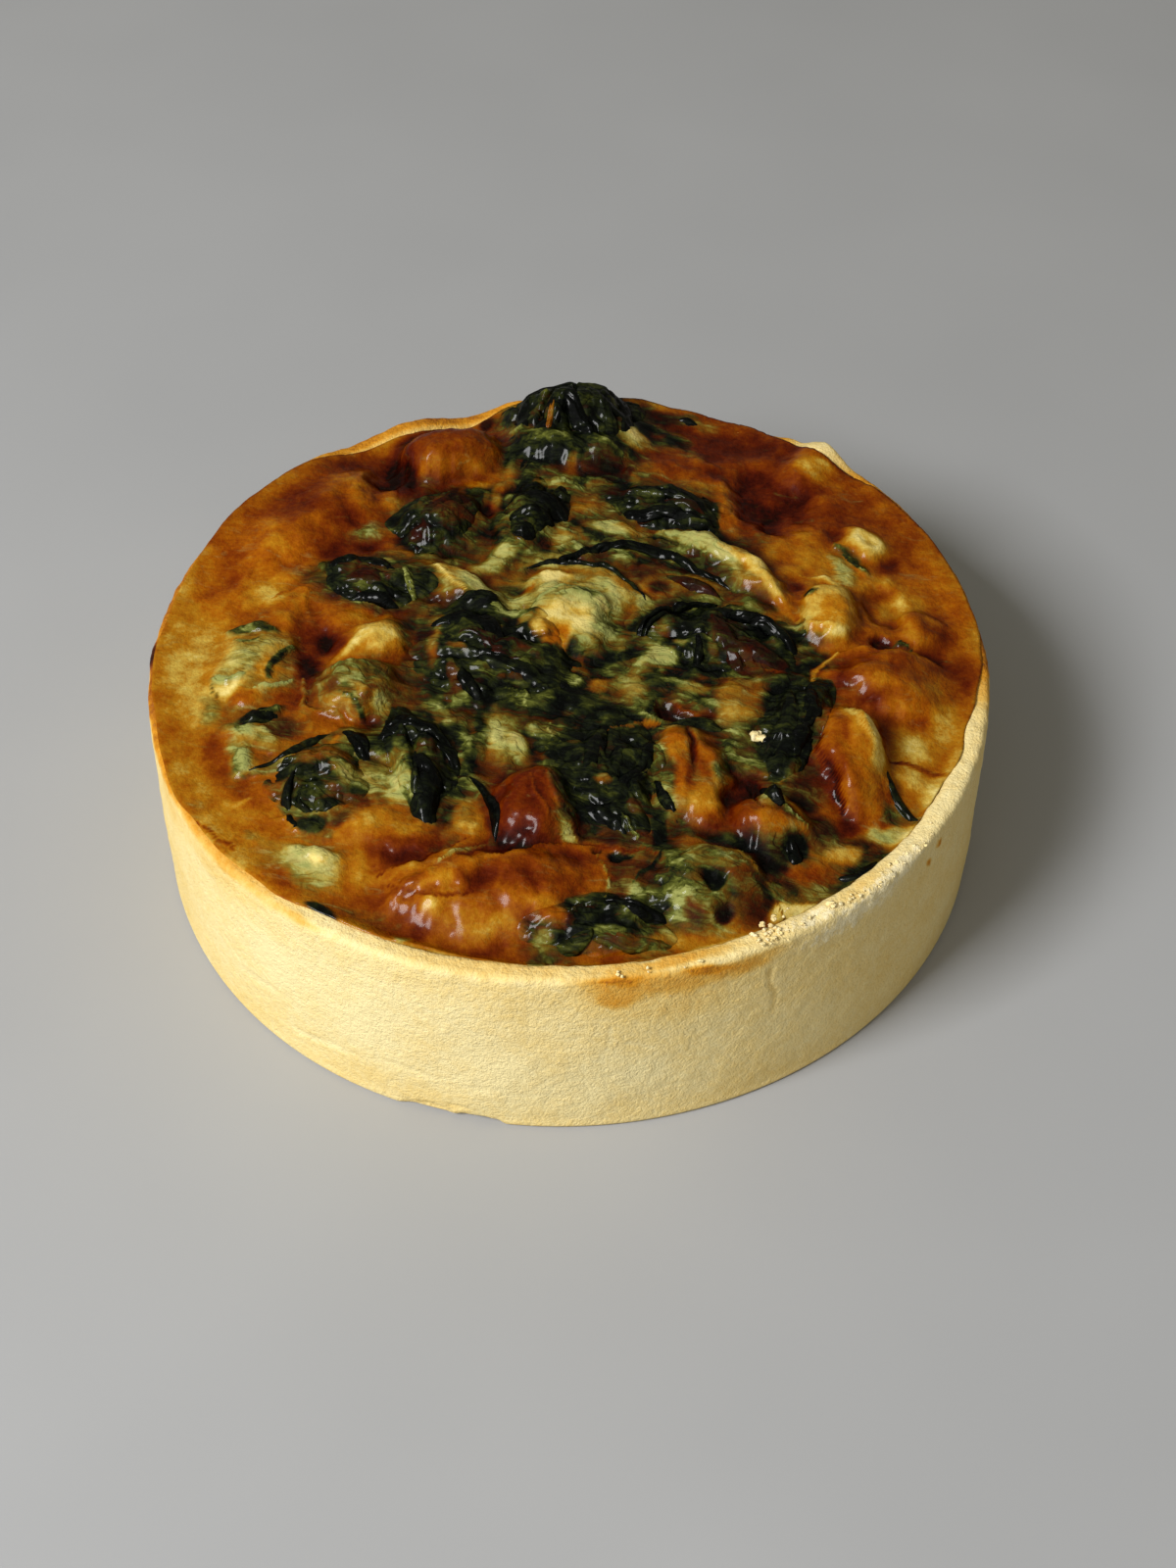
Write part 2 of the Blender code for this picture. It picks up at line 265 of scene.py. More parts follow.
PATCHES = (
    # back left
    ("orange", -38, 27, 11, 9, 55, 0, 1.0), ("glow", -45, 19, 8, 4.5, 70, 0, 1.0),
    ("amber", -41, 34, 7, 2.6, 40, 0.3, 1.0), ("glow", -42, 21, 6, 2.2, 110, 0.2, 1.0),
    ("orange", -46.5, 14, 4, 1.8, 80, 0, 1.0), ("rust", -35, 27, 6, 4.4, 80, 0, 1.0),
    ("brown", -31.6, 25, 3, 1.4, 60, 0, 1.0), ("brown", -30, 19.6, 5, 2, 10, -0.2, 1.0),
    ("orange", -28.6, 30, 6.5, 1.8, 95, 0.5, 1.0), ("glow", -36, 26, 2, 4, 30, 0, 1.0),
    ("oxblood", -24.6, 35.6, 6, 2.6, 110, -0.6, 0.8), ("rust", -30, 39, 5, 1.4, 20, -0.2, 0.9),
    ("brown", -21.4, 43, 4, 3.6, 25, 0.6, 1.0), ("rust", -15.4, 44, 4.6, 3, 0, 0.5, 1.0),
    ("rust", -15.4, 38.6, 3.6, 2.6, -5, 0.4, 0.9), ("oxblood", -23.6, 39.6, 2.4, 3.4, 10, 0, 1.0),
    ("orange", -18.2, 35.6, 2.6, 1.6, 10, 0.2, 0.9), ("butter", -14, 33, 2, 1.1, -25, 0.3, 0.9),
    ("oxblood", -11.2, 27.6, 1.4, 2.2, 0, -0.3, 0.8), ("orange", -12.6, 45, 2.6, 2.8, 0, 0, 1.0),
    ("umber", -12.6, 48.8, 1.3, 1, 0, 0.3, 0.6), ("olive", -28.6, 22, 2.4, 1.4, 10, 0, 1.0),
    # left
    ("glow", -46, 9.6, 7, 4, 100, 0, 1.0), ("glow", -38.6, 16, 4, 2.6, 60, 0.2, 0.9),
    ("gold", -42, 11, 2.4, 3.4, 0, 0, 1.0), ("orange", -37, 7, 3, 3, 0, 0.3, 0.8),
    ("orange", -31.4, 5.6, 2.8, 2.4, 20, 0.3, 0.8), ("butter", -47.4, -1.6, 4.4, 7, 10, 0, 1.0),
    ("gold", -50.6, 4.4, 1.6, 4, -4, 0, 1.0), ("cream", -48, -3.6, 3, 6, 12, 0, 0.9),
    ("cream", -45, -7.4, 2.4, 1.6, -30, 0, 1.0), ("butter", -49, -7, 3, 7.4, 8, 0, 1.0),
    ("gold", -45.5, -2.4, 2, 3.4, 0, 0, 1.0), ("lime", -41.5, -2.5, 3.4, 3.4, 80, 0.2, 1.0),
    ("moss", -42.4, 3.4, 3, 1.2, 15, 0.3, 0.6), ("leaf", -40, 3.4, 1.6, 1, -20, 0.2, 0.6),
    ("oxblood", -34, -4, 1.8, 5, 4, 0, 0.9), ("rust", -33.4, 3, 2.4, 3, 0, 0, 0.9),
    ("brown", -31.6, 1.4, 1.8, 2, 0, -0.2, 0.9), ("butter", -27.4, 0, 3.6, 1.1, 40, 0.2, 0.8),
    ("gold", -24.6, 0.2, 2.6, 2.6, 0, 0.5, 0.8), ("amber", -22.8, -2, 1.6, 2.4, 0, 0.2, 0.9),
    ("olive", -27.3, -8, 5.4, 4.4, 0, 0.6, 0.7), ("olive", -26, -7.6, 3.8, 0.9, 4, 0.2, 0.8),
    ("bark", -24.6, -10.4, 3.4, 0.7, 8, 0.2, 0.8), ("pale", -23.4, -12.2, 1.5, 1.6, 0, 0.3, 0.8),
    ("ochre", -26.8, -10.6, 1.6, 0.9, -50, 0.4, 0.6), ("orange", -36, -10.2, 2.8, 2, 40, 0, 1.0),
    ("orange", -41.6, -9.4, 2.6, 1.2, -10, 0.4, 0.8),
    ("leaf", -39.4, -12.6, 3.2, 1.1, 14, 0.5, 0.5), ("sage", -42, -15.4, 1.8, 1, -25, 0.4, 0.7),
    ("olive", -43.4, -15, 1.4, 1.2, -30, 0.2, 0.7), ("lime", -39, -16.6, 2.2, 1.4, -35, 0.4, 0.8),
    ("bark", -36.6, -14.6, 2.6, 1.8, 0, -0.5, 0.9), ("lime", -46.4, -11, 1.4, 2, 0, 0, 0.9),
    # the gold knob at -41.4, -20.6 is partly a painted highlight
    ("ochre", -41, -18.4, 1.2, 0.9, 0, 0.2, 0.8), ("gold", -41.4, -20.6, 1, 1.3, 0, 0.5, 0.7),
    # front left
    ("gold", -46.6, -22, 7, 2.6, 110, 0, 1.0), ("lime", -43.6, -29, 4, 2.2, 125, 0, 1.0),
    ("lime", -35.6, -33.6, 3.4, 2, -40, 0, 1.0), ("orange", -44, -18, 1.6, 3, 10, 0, 1.0),
    ("orange", -38.4, -25, 3, 2.2, 0, 0.3, 1.0), ("gold", -41.4, -30.6, 6, 3.2, 130, 0, 1.0),
    ("orange", -36, -31.4, 2.6, 1.6, 0, 0, 1.0), ("ochre", -30.6, -20.4, 4, 2.4, 0, 0.3, 0.8),
    ("olive", -28, -18.6, 1.4, 1.2, 0, 0, 1.0), ("pale", -27, -23.4, 2.4, 1.8, -20, 0.5, 0.8),
    ("moss", -31, -26.4, 2.4, 2.2, 0, -0.4, 0.7), ("bark", -26, -28, 1.5, 1.3, 0, -0.2, 0.8),
    ("amber", -22.4, -31.4, 5.6, 3, -8, 0.7, 0.9), ("lime", -22, -20.6, 2.2, 3.4, 10, 0.2, 0.8),
    ("pale", -20.6, -25, 1.5, 3, 22, 0.5, 0.8), ("rust", -20.6, -35.6, 4.4, 2.6, 5, 0.3, 0.9),
    ("sage", -41.6, -19.6, 1.6, 2.4, 20, 0.2, 0.8), ("moss", -38, -33, 2.4, 0.7, -30, 0.2, 0.7),
    ("brown", -20.4, -36.4, 2, 1.2, 0, -0.2, 1.0), ("rust", -16.4, -33.6, 2, 1.8, 0, 0, 1.0),
    ("gold", -12, -31.4, 2.2, 2.8, -20, 0.3, 0.8), ("gold", -33, -36.6, 8, 5, -22, 0, 1.0),
    ("lime", -31.4, -37.2, 5.6, 3.6, -22, 0.2, 1.0), ("pale", -31, -37, 3.2, 1.8, -26, 0.2, 1.0),
    ("cream", -30.4, -36.8, 1.5, 0.8, -30, 0.2, 1.0), ("glow", -35, -39.6, 3.6, 1.6, -40, 0, 1.0),
    ("gold", -26, -37.4, 2, 2.4, 0, 0.2, 1.0), ("leaf", -29, -44.2, 2.4, 0.8, -32, 0.3, 0.5),
    ("lime", -19.6, -47.6, 1.1, 0.5, 0, 0.2, 0.6), ("ochre", -23, -44.5, 4.5, 1.8, -16, 0, 1.0),
    # the browned raft in front
    ("orange", -13.6, -41.4, 9.5, 4.6, 8, 0.3, 0.7), ("brown", -3, -37.4, 4.4, 1.4, 8, 0.2, 0.9),
    ("rust", -2, -39.4, 6, 4, 5, 0.3, 0.6), ("orange", -4.6, -43.4, 3.4, 1.8, -20, 0.2, 0.9),
    ("rust", -9.4, -40.2, 1.6, 2.8, -30, -0.4, 0.9), ("amber", -14, -45.4, 6, 2.2, -4, 0.2, 1.0),
    ("rust", -17, -42, 3, 1.6, 20, 0, 1.0), ("gold", -8.6, -46.6, 5, 1.8, -4, 0.2, 1.0),
    ("glow", -15.4, -40.4, 3, 1.4, 20, 0.2, 0.9), ("rust", -19.6, -41.8, 2.6, 1.0, 24, 0.3, 0.8),
    ("lime", -2.8, -47.6, 1.6, 1.6, 40, 0, 0.9),
    # the wedge of leaf and the pale custard beside it
    ("lime", 13, -46.4, 2.2, 2, 0, 0, 0.9), ("bark", 7, -39.6, 2.2, 2.8, 0, 0, 0.8),
    ("sage", 5.4, -47, 2.6, 1.1, -18, 0.4, 0.7), ("olive", 9.4, -45.8, 3, 0.9, -12, 0.2, 0.8),
    ("amber", 4.4, -49.8, 4.4, 1.5, 4, 0.3, 0.8), ("ochre", 10, -48.4, 2.6, 1.3, 10, 0.2, 0.9),
    ("butter", 17.6, -47.2, 6, 1.5, 8, 0, 0.9), ("black", 4.2, -35.6, 0.7, 0.5, 0, -0.6, 0.5),
    ("black", 6.7, -36.6, 1.0, 0.6, 0, -0.7, 0.5), ("umber", 6.6, -33.6, 3.6, 0.9, -8, 0, 0.8),
    # the dome right of it
    ("olive", 14.6, -41, 4.6, 4.6, 0, 0, 0.7), ("sage", 13, -42.6, 2, 3, 25, 0.2, 0.8),
    ("pale", 16.6, -45.2, 2.6, 1, -6, 0, 0.9), ("ochre", 17, -35.6, 4.4, 1.5, -12, 0.3, 0.8),
    ("moss", 13.2, -38.4, 1.3, 2.8, 35, 0.3, 0.8), ("olive", 15.6, -42.6, 1.4, 2, 20, 0.2, 0.9),
    ("bark", 21.8, -41.2, 1.9, 3, 14, 0.4, 0.8), ("leaf", 17.7, -40.4, 1.7, 1.2, 0, -0.7, 0.6),
    ("umber", 18.6, -44.3, 1, 0.9, 0, -0.8, 0.6), ("bark", 15.4, -44.6, 2, 0.9, -20, 0, 0.9),
    ("olive", 25.4, -41, 1.2, 3, 22, 0, 0.8), ("cream", 26.8, -42.6, 3.2, 1.1, 27, 0.5, 0.5),
    ("ochre", 22.6, -37.2, 2.2, 1.4, -40, 0.2, 0.9),
    # middle front
    ("brown", -5, -28.4, 4.6, 6, 0, 0.4, 0.6), ("oxblood", -5.6, -30, 3.8, 5, 0, 0.1, 0.9),
    ("bark", 0.6, -30.6, 1, 3.4, 22, 0.2, 0.9), ("black", 3, -28.8, 2.8, 1.8, -20, 0.5, 0.6),
    ("bark", 8.2, -29.6, 1.4, 1.5, 0, 0.4, 0.7), ("black", 11.2, -32.4, 1.3, 3, 0, -0.2, 0.6),
    ("olive", 2.6, -22, 1.6, 1.3, 30, 0.3, 0.8), ("ochre", 4.2, -25.4, 1.4, 1, 0, 0.3, 0.8),
    ("black", 8.4, -19.4, 1.9, 3.4, 10, 0, 0.7), ("black", 0.4, -23, 1.5, 2.2, 0, 0, 0.8),
    ("orange", 13.4, -19, 1.7, 4, 6, 0.5, 0.8), ("olive", 11.6, -24, 1.2, 2, 0, 0.2, 0.8),
    ("rust", 14.6, -24.6, 1.2, 2.4, -6, 0.3, 0.8), ("rust", 17.2, -21.4, 1.6, 3.6, 10, 0.4, 0.8),
    ("moss", 19.4, -24.6, 0.9, 2, 20, 0.3, 0.8), ("rust", 15.5, -19, 0.6, 4, 4, -0.3, 0.9),
    ("amber", 17, -28.4, 2, 2.6, 6, 0.4, 0.8), ("gold", 17.8, -30, 1.2, 1.2, 0, 0.2, 0.8),
    ("orange", 13.6, -25.4, 1, 4, 4, 0.3, 0.9), ("olive", 11, -21.6, 1.2, 2.6, 0, 0.2, 0.8),
    ("brown", 21.8, -30.6, 3.2, 2.4, -10, 0.4, 0.8), ("brown", 22, -25.6, 2.2, 3.2, 0, -0.3, 0.9),
    ("orange", 25, -31.6, 2.2, 1.5, 0, 0.7, 0.7), ("bark", 29.6, -24.4, 2.2, 3.6, 10, 0, 0.9),
    ("umber", 29.4, -27.6, 1.5, 1.5, 0, -0.3, 0.7), ("black", 27.6, -34, 1.6, 1.5, 0, -0.5, 0.7),
    ("orange", 29.4, -37, 3.2, 1.4, 12, 0.3, 0.8), ("gold", 33.6, -33.8, 2.6, 1, 8, 0.6, 0.7),
    ("olive", 34.6, -39.2, 3.6, 1, 28, 0, 0.9), ("umber", 24.4, -36, 1.8, 2.4, 0, 0, 0.9),
    # middle
    ("leaf", -13, 3, 4, 3.4, 0, 0, 0.9), ("black", -10, -9, 5.4, 2, -6, 0.2, 0.8),
    ("black", -2.4, -8.4, 4, 2.4, -14, 0.2, 0.8), ("leaf", -16, -8, 3, 2, 10, 0.2, 0.8),
    ("black", 4.4, -12, 4, 1.8, -20, 0.1, 0.8), ("leaf", 9.4, -9.6, 2.4, 2, 0, 0, 0.8),
    ("leaf", 18.6, -3.4, 4, 1.5, -10, 0, 0.8), ("ochre", -17.6, 0, 0.9, 5, -4, 0.2, 0.8),
    ("umber", -19, 2, 1.2, 1.6, 0, 0.3, 0.7), ("ochre", -14.6, -2, 1.8, 0.9, -12, 0.2, 0.8),
    ("black", -12.6, -4.2, 1.6, 1.3, 25, -0.2, 0.7), ("bark", -15, -6.8, 1.1, 2.2, 8, 0.5, 0.6),
    ("olive", -9.6, -6, 3, 1.9, -8, 0.4, 0.7), ("umber", -12, -8, 1, 0.7, 0, 0.2, 0.8),
    ("sage", -16.4, -10.2, 2.6, 1.2, 0, 0.3, 0.8), ("sage", -8.6, 5.8, 3.2, 1.2, -25, 0.3, 0.8),
    ("black", -7.2, 1.8, 1.2, 1.4, 0, -0.2, 0.8), ("olive", -10, 1.4, 1.2, 1.6, 0, 0.2, 0.9),
    ("umber", -8, -1.4, 3.4, 0.7, -22, 0.4, 0.7), ("lime", -8.4, -15.8, 2.3, 4.8, 4, 0.3, 0.9),
    ("pale", -8.8, -15.2, 1.2, 3.2, 6, 0.2, 0.9), ("moss", -11, -15.6, 0.9, 4.6, 2, 0.3, 0.8),
    ("leaf", -12.4, -20, 0.9, 2.6, 0, 0.2, 0.8), ("olive", -3, -15, 2, 3.4, 20, 0.4, 0.8),
    ("olive", -3.8, -13.4, 1.2, 1.6, 20, 0.2, 0.8), ("moss", -7, -9.8, 2.6, 0.8, -15, 0.4, 0.7),
    ("black", 1, -9, 2.9, 1.7, -25, -0.2, 0.7), ("sage", 0.6, -6.2, 1.3, 0.9, 0, 0.3, 0.8),
    ("ochre", 4, -6.6, 1.4, 1.3, -30, 0.3, 0.8), ("lime", 7.8, -7.6, 2, 3.6, 24, 0.3, 0.8),
    ("olive", 6.6, -3.6, 2.6, 1.2, 0, 0.2, 0.9), ("olive", 3.6, -0.4, 2.8, 1, 0, 0.4, 0.8),
    ("black", 6.6, -1.4, 1.8, 0.8, -10, -0.4, 0.7), ("pale", 2.6, 3.4, 3.6, 3, -20, 0.2, 0.9),
    ("sage", 5, 2.4, 2, 0.7, 10, 0, 0.9), ("butter", -1.2, 3, 3.8, 2.4, -6, 0.2, 0.8),
    ("cream", -1.6, 3.2, 2.8, 1.5, -6, 0.1, 0.9), ("butter", -4.2, 2, 1.3, 1.8, 20, 0, 0.9),
    ("glow", -1.6, 0.6, 1.5, 1.8, 15, -0.2, 0.7), ("pale", -3.4, 16.6, 2.6, 1.2, -10, 0.2, 0.8),
    ("lime", 2, 14.6, 3.4, 1, -8, 0.2, 0.8), ("pale", 9.6, 7.6, 1.4, 2, -30, 0.2, 0.8),
    ("lime", -6.4, 8.8, 2.2, 1, -20, 0.2, 0.8), ("lime", -5.6, -18.6, 1.2, 3.4, 10, 0.3, 0.8),
    ("sage", -12.8, -17, 1, 3, 6, 0.3, 0.8), ("lime", 14.4, 0.2, 1.4, 0.9, -20, 0.3, 0.8),
    ("sage", 10, -12.6, 2.4, 0.8, -12, 0.3, 0.8),
    # right of the middle
    ("olive", 11.6, 2.4, 1.7, 2.4, -10, 0.3, 0.8), ("pale", 11.4, -2, 2.6, 2.2, 15, 0.4, 0.8),
    ("lime", 12, 3, 0.9, 1, 0, 0.1, 0.9), ("umber", 20.8, 1.8, 3, 4.4, 15, 0.2, 0.8),
    ("olive", 19, -1.6, 1.2, 2.6, 10, 0.2, 0.8), ("black", 16.8, 0.8, 0.9, 2.8, 0, 0.2, 0.6),
    ("olive", 24, 7, 2.8, 1.5, -15, 0, 0.8), ("black", 19, -4, 1.8, 1, -10, -0.2, 0.7),
    ("bark", 23.8, -2.6, 2.6, 2.2, 0, 0.5, 0.8), ("rust", 26.8, -4.2, 1.6, 0.8, -10, 0.3, 0.8),
    ("olive", 26, -6.2, 3.8, 1.1, 5, 0.2, 0.7), ("black", 31.4, -3.4, 2.2, 1.2, -10, -0.6, 0.7),
    ("moss", 12, -6.6, 2.6, 1.2, -5, 0.4, 0.8), ("lime", 16, -7.4, 2.6, 1.4, -12, 0.3, 0.8),
    ("moss", 17.6, -10.2, 1.9, 0.9, -25, 0.4, 0.7),
    ("oxblood", 13.2, -11.2, 2.4, 1, -28, -0.9, 0.6), ("umber", 17.4, -13.4, 2, 2, -20, 0, 0.9),
    ("ochre", 22, -9.6, 3.4, 3.6, -20, 1.0, 0.7), ("ochre", 21.4, -11.6, 2.4, 2.4, 0, 0.2, 0.9),
    ("olive", 22, -17.6, 2.4, 3.6, 0, 0.3, 0.8), ("leaf", 20.5, -17.6, 0.6, 1.3, 0, 0.2, 0.7),
    ("black", 29, -9.4, 4, 5, -10, 0, 0.7), ("black", 26.8, -17.4, 2.6, 4.4, -15, 0, 0.7),
    # right
    ("orange", 35.6, -19.4, 4.6, 10.2, 10, 0, 0.7), ("rust", 33.6, -14.6, 1.6, 4, 10, 0.3, 0.9),
    ("rust", 37.4, -17, 2.4, 3.4, 20, 0.5, 0.9), ("orange", 35.8, -23, 2, 3, 0, 0.3, 1.0),
    ("orange", 38.6, -25.6, 1.4, 3, 10, 0, 1.0), ("amber", 35, -28, 1.6, 3, -8, 0.2, 0.9),
    ("rust", 43, -3.6, 8.4, 3.8, -4, 0, 0.6), ("orange", 39.8, -9, 3, 2, -20, -0.2, 1.0),
    ("rust", 49.4, -1, 3.2, 1.5, -25, -0.2, 0.9), ("glow", 44, -11, 4.4, 3.4, -20, 0, 1.0),
    ("butter", 48.6, -12.6, 2, 6.4, -10, 0, 1.0), ("butter", 44.2, -16.4, 2.6, 2.2, -20, 0.2, 1.0),
    ("gold", 47.2, -19.6, 1.6, 3, -24, 0, 1.0), ("gold", 43, -20.8, 2.4, 1.5, 0, 0.4, 0.9),
    ("cream", 44.6, -23.2, 1.7, 2.4, -30, 0.2, 0.9),
    ("olive", 40.2, -27.4, 1.7, 1.3, -20, 0.2, 0.6), ("cream", 40, -30, 2.8, 1.3, 25, 0.4, 0.7),
    ("moss", 39.4, -33.6, 1, 0.8, 0, 0, 0.8), ("rust", 36, -5.4, 1.6, 1.4, 0, 0.2, 0.9),
    ("orange", 33.6, -4.6, 1.7, 1, -20, 0.3, 0.7),
    # right back
    ("gold", 33.4, 8, 3.4, 5.4, 8, 0.3, 0.7), ("glow", 35, 5, 2, 2.6, 0, 0.2, 1.0),
    ("rust", 30.6, 12.2, 1.3, 0.9, 0, 0, 0.8), ("leaf", 31.9, 9, 0.9, 1, 0, -0.1, 0.5),
    ("butter", 34.4, 1.8, 1.5, 1, -20, 0.3, 0.8), ("ochre", 22.6, 16.2, 8.4, 2.2, -46, 0.3, 0.8),
    ("butter", 24.6, 14.2, 3, 1, -46, 0.3, 0.8), ("lime", 18, 20.2, 3.4, 1.8, -30, 0.3, 0.8),
    ("butter", 28.8, 7.2, 3.4, 1.2, -58, 0.2, 0.8), ("amber", 38.6, 9, 1.6, 4.8, 4, -0.2, 1.0),
    ("butter", 43, 8.8, 1.6, 2.2, 0, 0, 1.0), ("brown", 40.8, 2, 1.8, 0.9, 0, -0.9, 0.7),
    ("rust", 48, 4.6, 3.8, 3.2, 0, 0.9, 0.7), ("brown", 47.4, 3.4, 2.2, 1.4, 0, 0.1, 0.9),
    ("glow", 51, 9, 2, 5, 5, 0, 1.0), ("glow", 47.6, 14.4, 2.6, 3.8, 5, 0, 1.0),
    ("brown", 43.4, 17.4, 1.8, 1.5, 0, 0, 0.9), ("lime", 36.4, 15.6, 1.5, 3.2, 10, 0, 0.9),
    ("amber", 30, 19.4, 3, 4.2, 0, 0, 1.0), ("butter", 40.4, 21.8, 2.7, 2.4, 20, 0.5, 1.0),
    ("gold", 40.2, 21.8, 1.1, 1, 0, -0.3, 1.0), ("orange", 43.5, 27, 6, 3.6, -60, 0, 1.0),
    ("orange", 38.5, 33, 5, 2.6, -40, 0, 1.0), ("oxblood", 26, 30, 3.6, 7.4, -14, -0.4, 1.0),
    ("brown", 32, 28, 5, 2.2, 10, 0, 1.0), ("brown", 28, 37, 5, 3.6, -20, 0.2, 1.0),
    ("butter", 35, 37, 2.2, 1.1, -30, 0.3, 0.9), ("orange", 32, 40, 2.6, 1.2, -35, 0, 1.0),
    ("rust", 15, 38.4, 6, 3, -32, 0.4, 0.8), ("brown", 20.6, 37.4, 2.6, 3, 0, 0, 1.0),
    ("ochre", 19.6, 48, 2.4, 1.6, 0, 0, 1.0), ("orange", 21.6, 27, 1.4, 4, 14, 0.3, 0.8),
    ("umber", 12.4, 49.8, 4, 1.5, -8, 0.2, 0.8),
    # behind the middle
    ("lime", 8.8, 42.4, 2.7, 1.5, 15, 0.4, 0.8), ("butter", 9.4, 42.8, 1.5, 0.7, 10, 0.1, 0.9),
    ("leaf", -3, 39.4, 6, 3, 0, 0, 0.8), ("black", -7.4, 37.4, 2.4, 3.4, 20, 0.3, 0.8),
    ("leaf", 3.6, 40.4, 4, 2, -10, 0.2, 0.8), ("black", 11, 45.6, 5, 1.6, -24, 0.3, 0.8),
    ("umber", 4.6, 36.4, 2.6, 2.8, 0, 0.4, 0.8), ("umber", 8.2, 36.2, 0.9, 0.9, 0, 0.5, 0.7),
    ("ochre", 0.2, 36.2, 1.1, 2.2, 0, 0.3, 0.8), ("olive", -7.8, 36.2, 1.9, 1.6, 0, 0.2, 0.9),
    ("lime", -3, 32.4, 2.6, 0.9, -8, 0.2, 0.8), ("ochre", -9.8, 31.2, 0.9, 3, -12, 0.3, 0.8),
    ("ochre", 1.8, 28.6, 2.2, 2, 0, 0.2, 0.8), ("umber", 6, 31, 3.4, 1, -10, 0.2, 0.9),
    ("black", -3.4, 28.8, 2.8, 1.6, -20, 0, 0.7), ("bark", -17.4, 24.6, 4.2, 4, 20, 0.2, 0.8),
    ("black", -21, 20.8, 3, 2, -20, -0.2, 0.8), ("olive", -5.6, 20, 2.2, 2.4, 20, 0.3, 0.8),
    ("lime", -1.4, 21, 1.6, 2, 0, 0.4, 0.8), ("pale", -11, 15.8, 2.4, 1.4, 10, 0.4, 0.8),
    ("pale", 5.8, 23.4, 3.4, 1.4, -8, 0.3, 0.8), ("ochre", 8.6, 23.2, 2.6, 0.9, -8, 0.2, 0.8),
    ("bark", 10.4, 15.4, 1.9, 2, -20, 0.3, 0.8), ("olive", 5.6, 17.2, 4, 0.9, -6, 0.1, 0.8),
    ("ochre", 16.4, 12.6, 3.6, 1.2, -14, 0.2, 0.8), ("pale", -13, 10.4, 3, 1.8, -35, 0.2, 0.8),
    ("ochre", -17.4, 13, 3.8, 1.2, -55, 0.4, 0.8), ("olive", -8, 11.6, 2, 1, -10, -0.5, 0.8),
    ("cream", -2.4, 12.6, 3.2, 2.4, -2, 0.2, 0.8), ("ochre", -1, 14.2, 4.6, 0.8, -4, 0, 0.9),
    ("pale", 4, 9.6, 3.2, 2, -20, 0.2, 0.9), ("amber", -5.8, 12, 0.9, 2, -20, 0.2, 0.8),
    ("amber", 7, 11, 1.6, 1.6, -40, 0.3, 0.8), ("bark", -24, 7, 2.6, 1.2, 0, -0.3, 0.9),
    ("bark", -27, 13.4, 4, 2.6, -10, 0, 0.9),
    # smaller washes, laid last
    # the butter strip at 38.4, -15.4 and the gold strip at 35.8, -15 are a painted highlight on the right
    # lump
    ("butter", 38.4, -15.4, 1.5, 4.6, 8, 0.4, 1.0), ("gold", 35.8, -15, 1.4, 3.4, 10, 0.2, 1.0),
    ("brown", 39.6, -9, 2.4, 1, -10, -0.2, 0.9), ("rust", 42.4, -9.2, 2.4, 1.4, -10, 0, 1.0),
    ("brown", 35.8, -6, 1.6, 1.2, 0, 0, 1.0), ("gold", 36.2, 0.4, 2.2, 1, -10, 0, 1.0),
    ("orange", 48.4, -6, 2, 2.4, 0, 0, 1.0), ("amber", 39.4, -21.4, 1.4, 2, 0, 0, 1.0),
    ("brown", 33.4, -22.6, 1.3, 3.4, 8, 0, 1.0), ("umber", 31, -31, 2.8, 2.2, 20, 0, 0.9),
    ("brown", 34.6, -29.6, 1.6, 1.8, 0, 0, 1.0), ("pale", 39.4, -30.2, 2.2, 1.2, 25, 0.2, 0.8),
    ("lime", 42, -26.4, 1.4, 2.2, -20, 0, 0.9), ("lime", 30, -39.2, 2.2, 1.2, 25, 0.1, 0.9),
    # the pale spot at 0.2, -32.6 is partly sage skin and partly a painted highlight on the blister
    ("pale", 0.2, -32.6, 1.1, 1.8, 10, 0.2, 0.8), ("olive", 0, -29.6, 1.1, 1.6, 0, 0.1, 0.9),
    ("brown", -5.8, -41.4, 2.8, 2.8, 0, 0, 1.0), ("ochre", 2.8, -48.4, 2.2, 0.9, -10, 0.2, 0.8),
    ("orange", -15.4, -44.6, 3, 1.4, 0, 0, 1.0), ("gold", -14.6, -48, 3, 1, 4, 0, 1.0),
    ("sage", 9, -42.6, 2, 1.6, -20, 0.1, 0.9), ("pale", -24.4, -24, 1.8, 2.2, 10, 0.2, 0.8),
    ("pale", -21.4, -26.6, 1.4, 1.8, 30, 0.2, 0.8), ("leaf", -31.2, -30.4, 2.6, 0.9, 6, 0.2, 0.7),
    ("bark", -27.4, -30, 1.6, 1.2, 0, 0, 1.0), ("ochre", -12, -30.4, 1.8, 1.8, 0, 0, 1.0),
    ("black", -23.6, -18, 1.6, 1.6, 0, 0.1, 0.7), ("black", -17.6, -18, 2, 1.6, 0, 0, 0.7),
    ("black", -15, -14.8, 1.6, 1, 0, 0, 0.8), ("pale", -6, -18, 1.6, 1.6, 0, 0.1, 0.9),
    ("moss", -2.4, -17.8, 1.6, 1.6, 0, 0.1, 0.9), ("pale", -7, 8, 3.2, 2, -25, 0.1, 0.8),
    ("pale", -2.8, 9.6, 2, 1.2, -10, 0.1, 0.8), ("lime", -6, 12.4, 1.8, 1, -10, 0.1, 0.9),
    ("sage", 1.4, 6.8, 2, 0.9, 0, 0, 0.9), ("sage", 5.8, 3.6, 1.6, 1.6, 0, 0, 0.9),
    ("pale", 18.2, 18, 2.8, 1.4, -35, 0.2, 0.8), ("lime", 29.6, 3.8, 2.4, 1, -10, 0.1, 0.9),
    ("glow", 33.2, 3.4, 1.4, 1.2, 0, 0, 1.0), ("amber", -3, 0, 1.4, 0.9, 0, 0.1, 0.9),
    ("umber", 12, 12, 1.6, 1, -20, 0, 0.9), ("moss", 12.2, -6, 1.8, 1, 0, 0.1, 0.9),
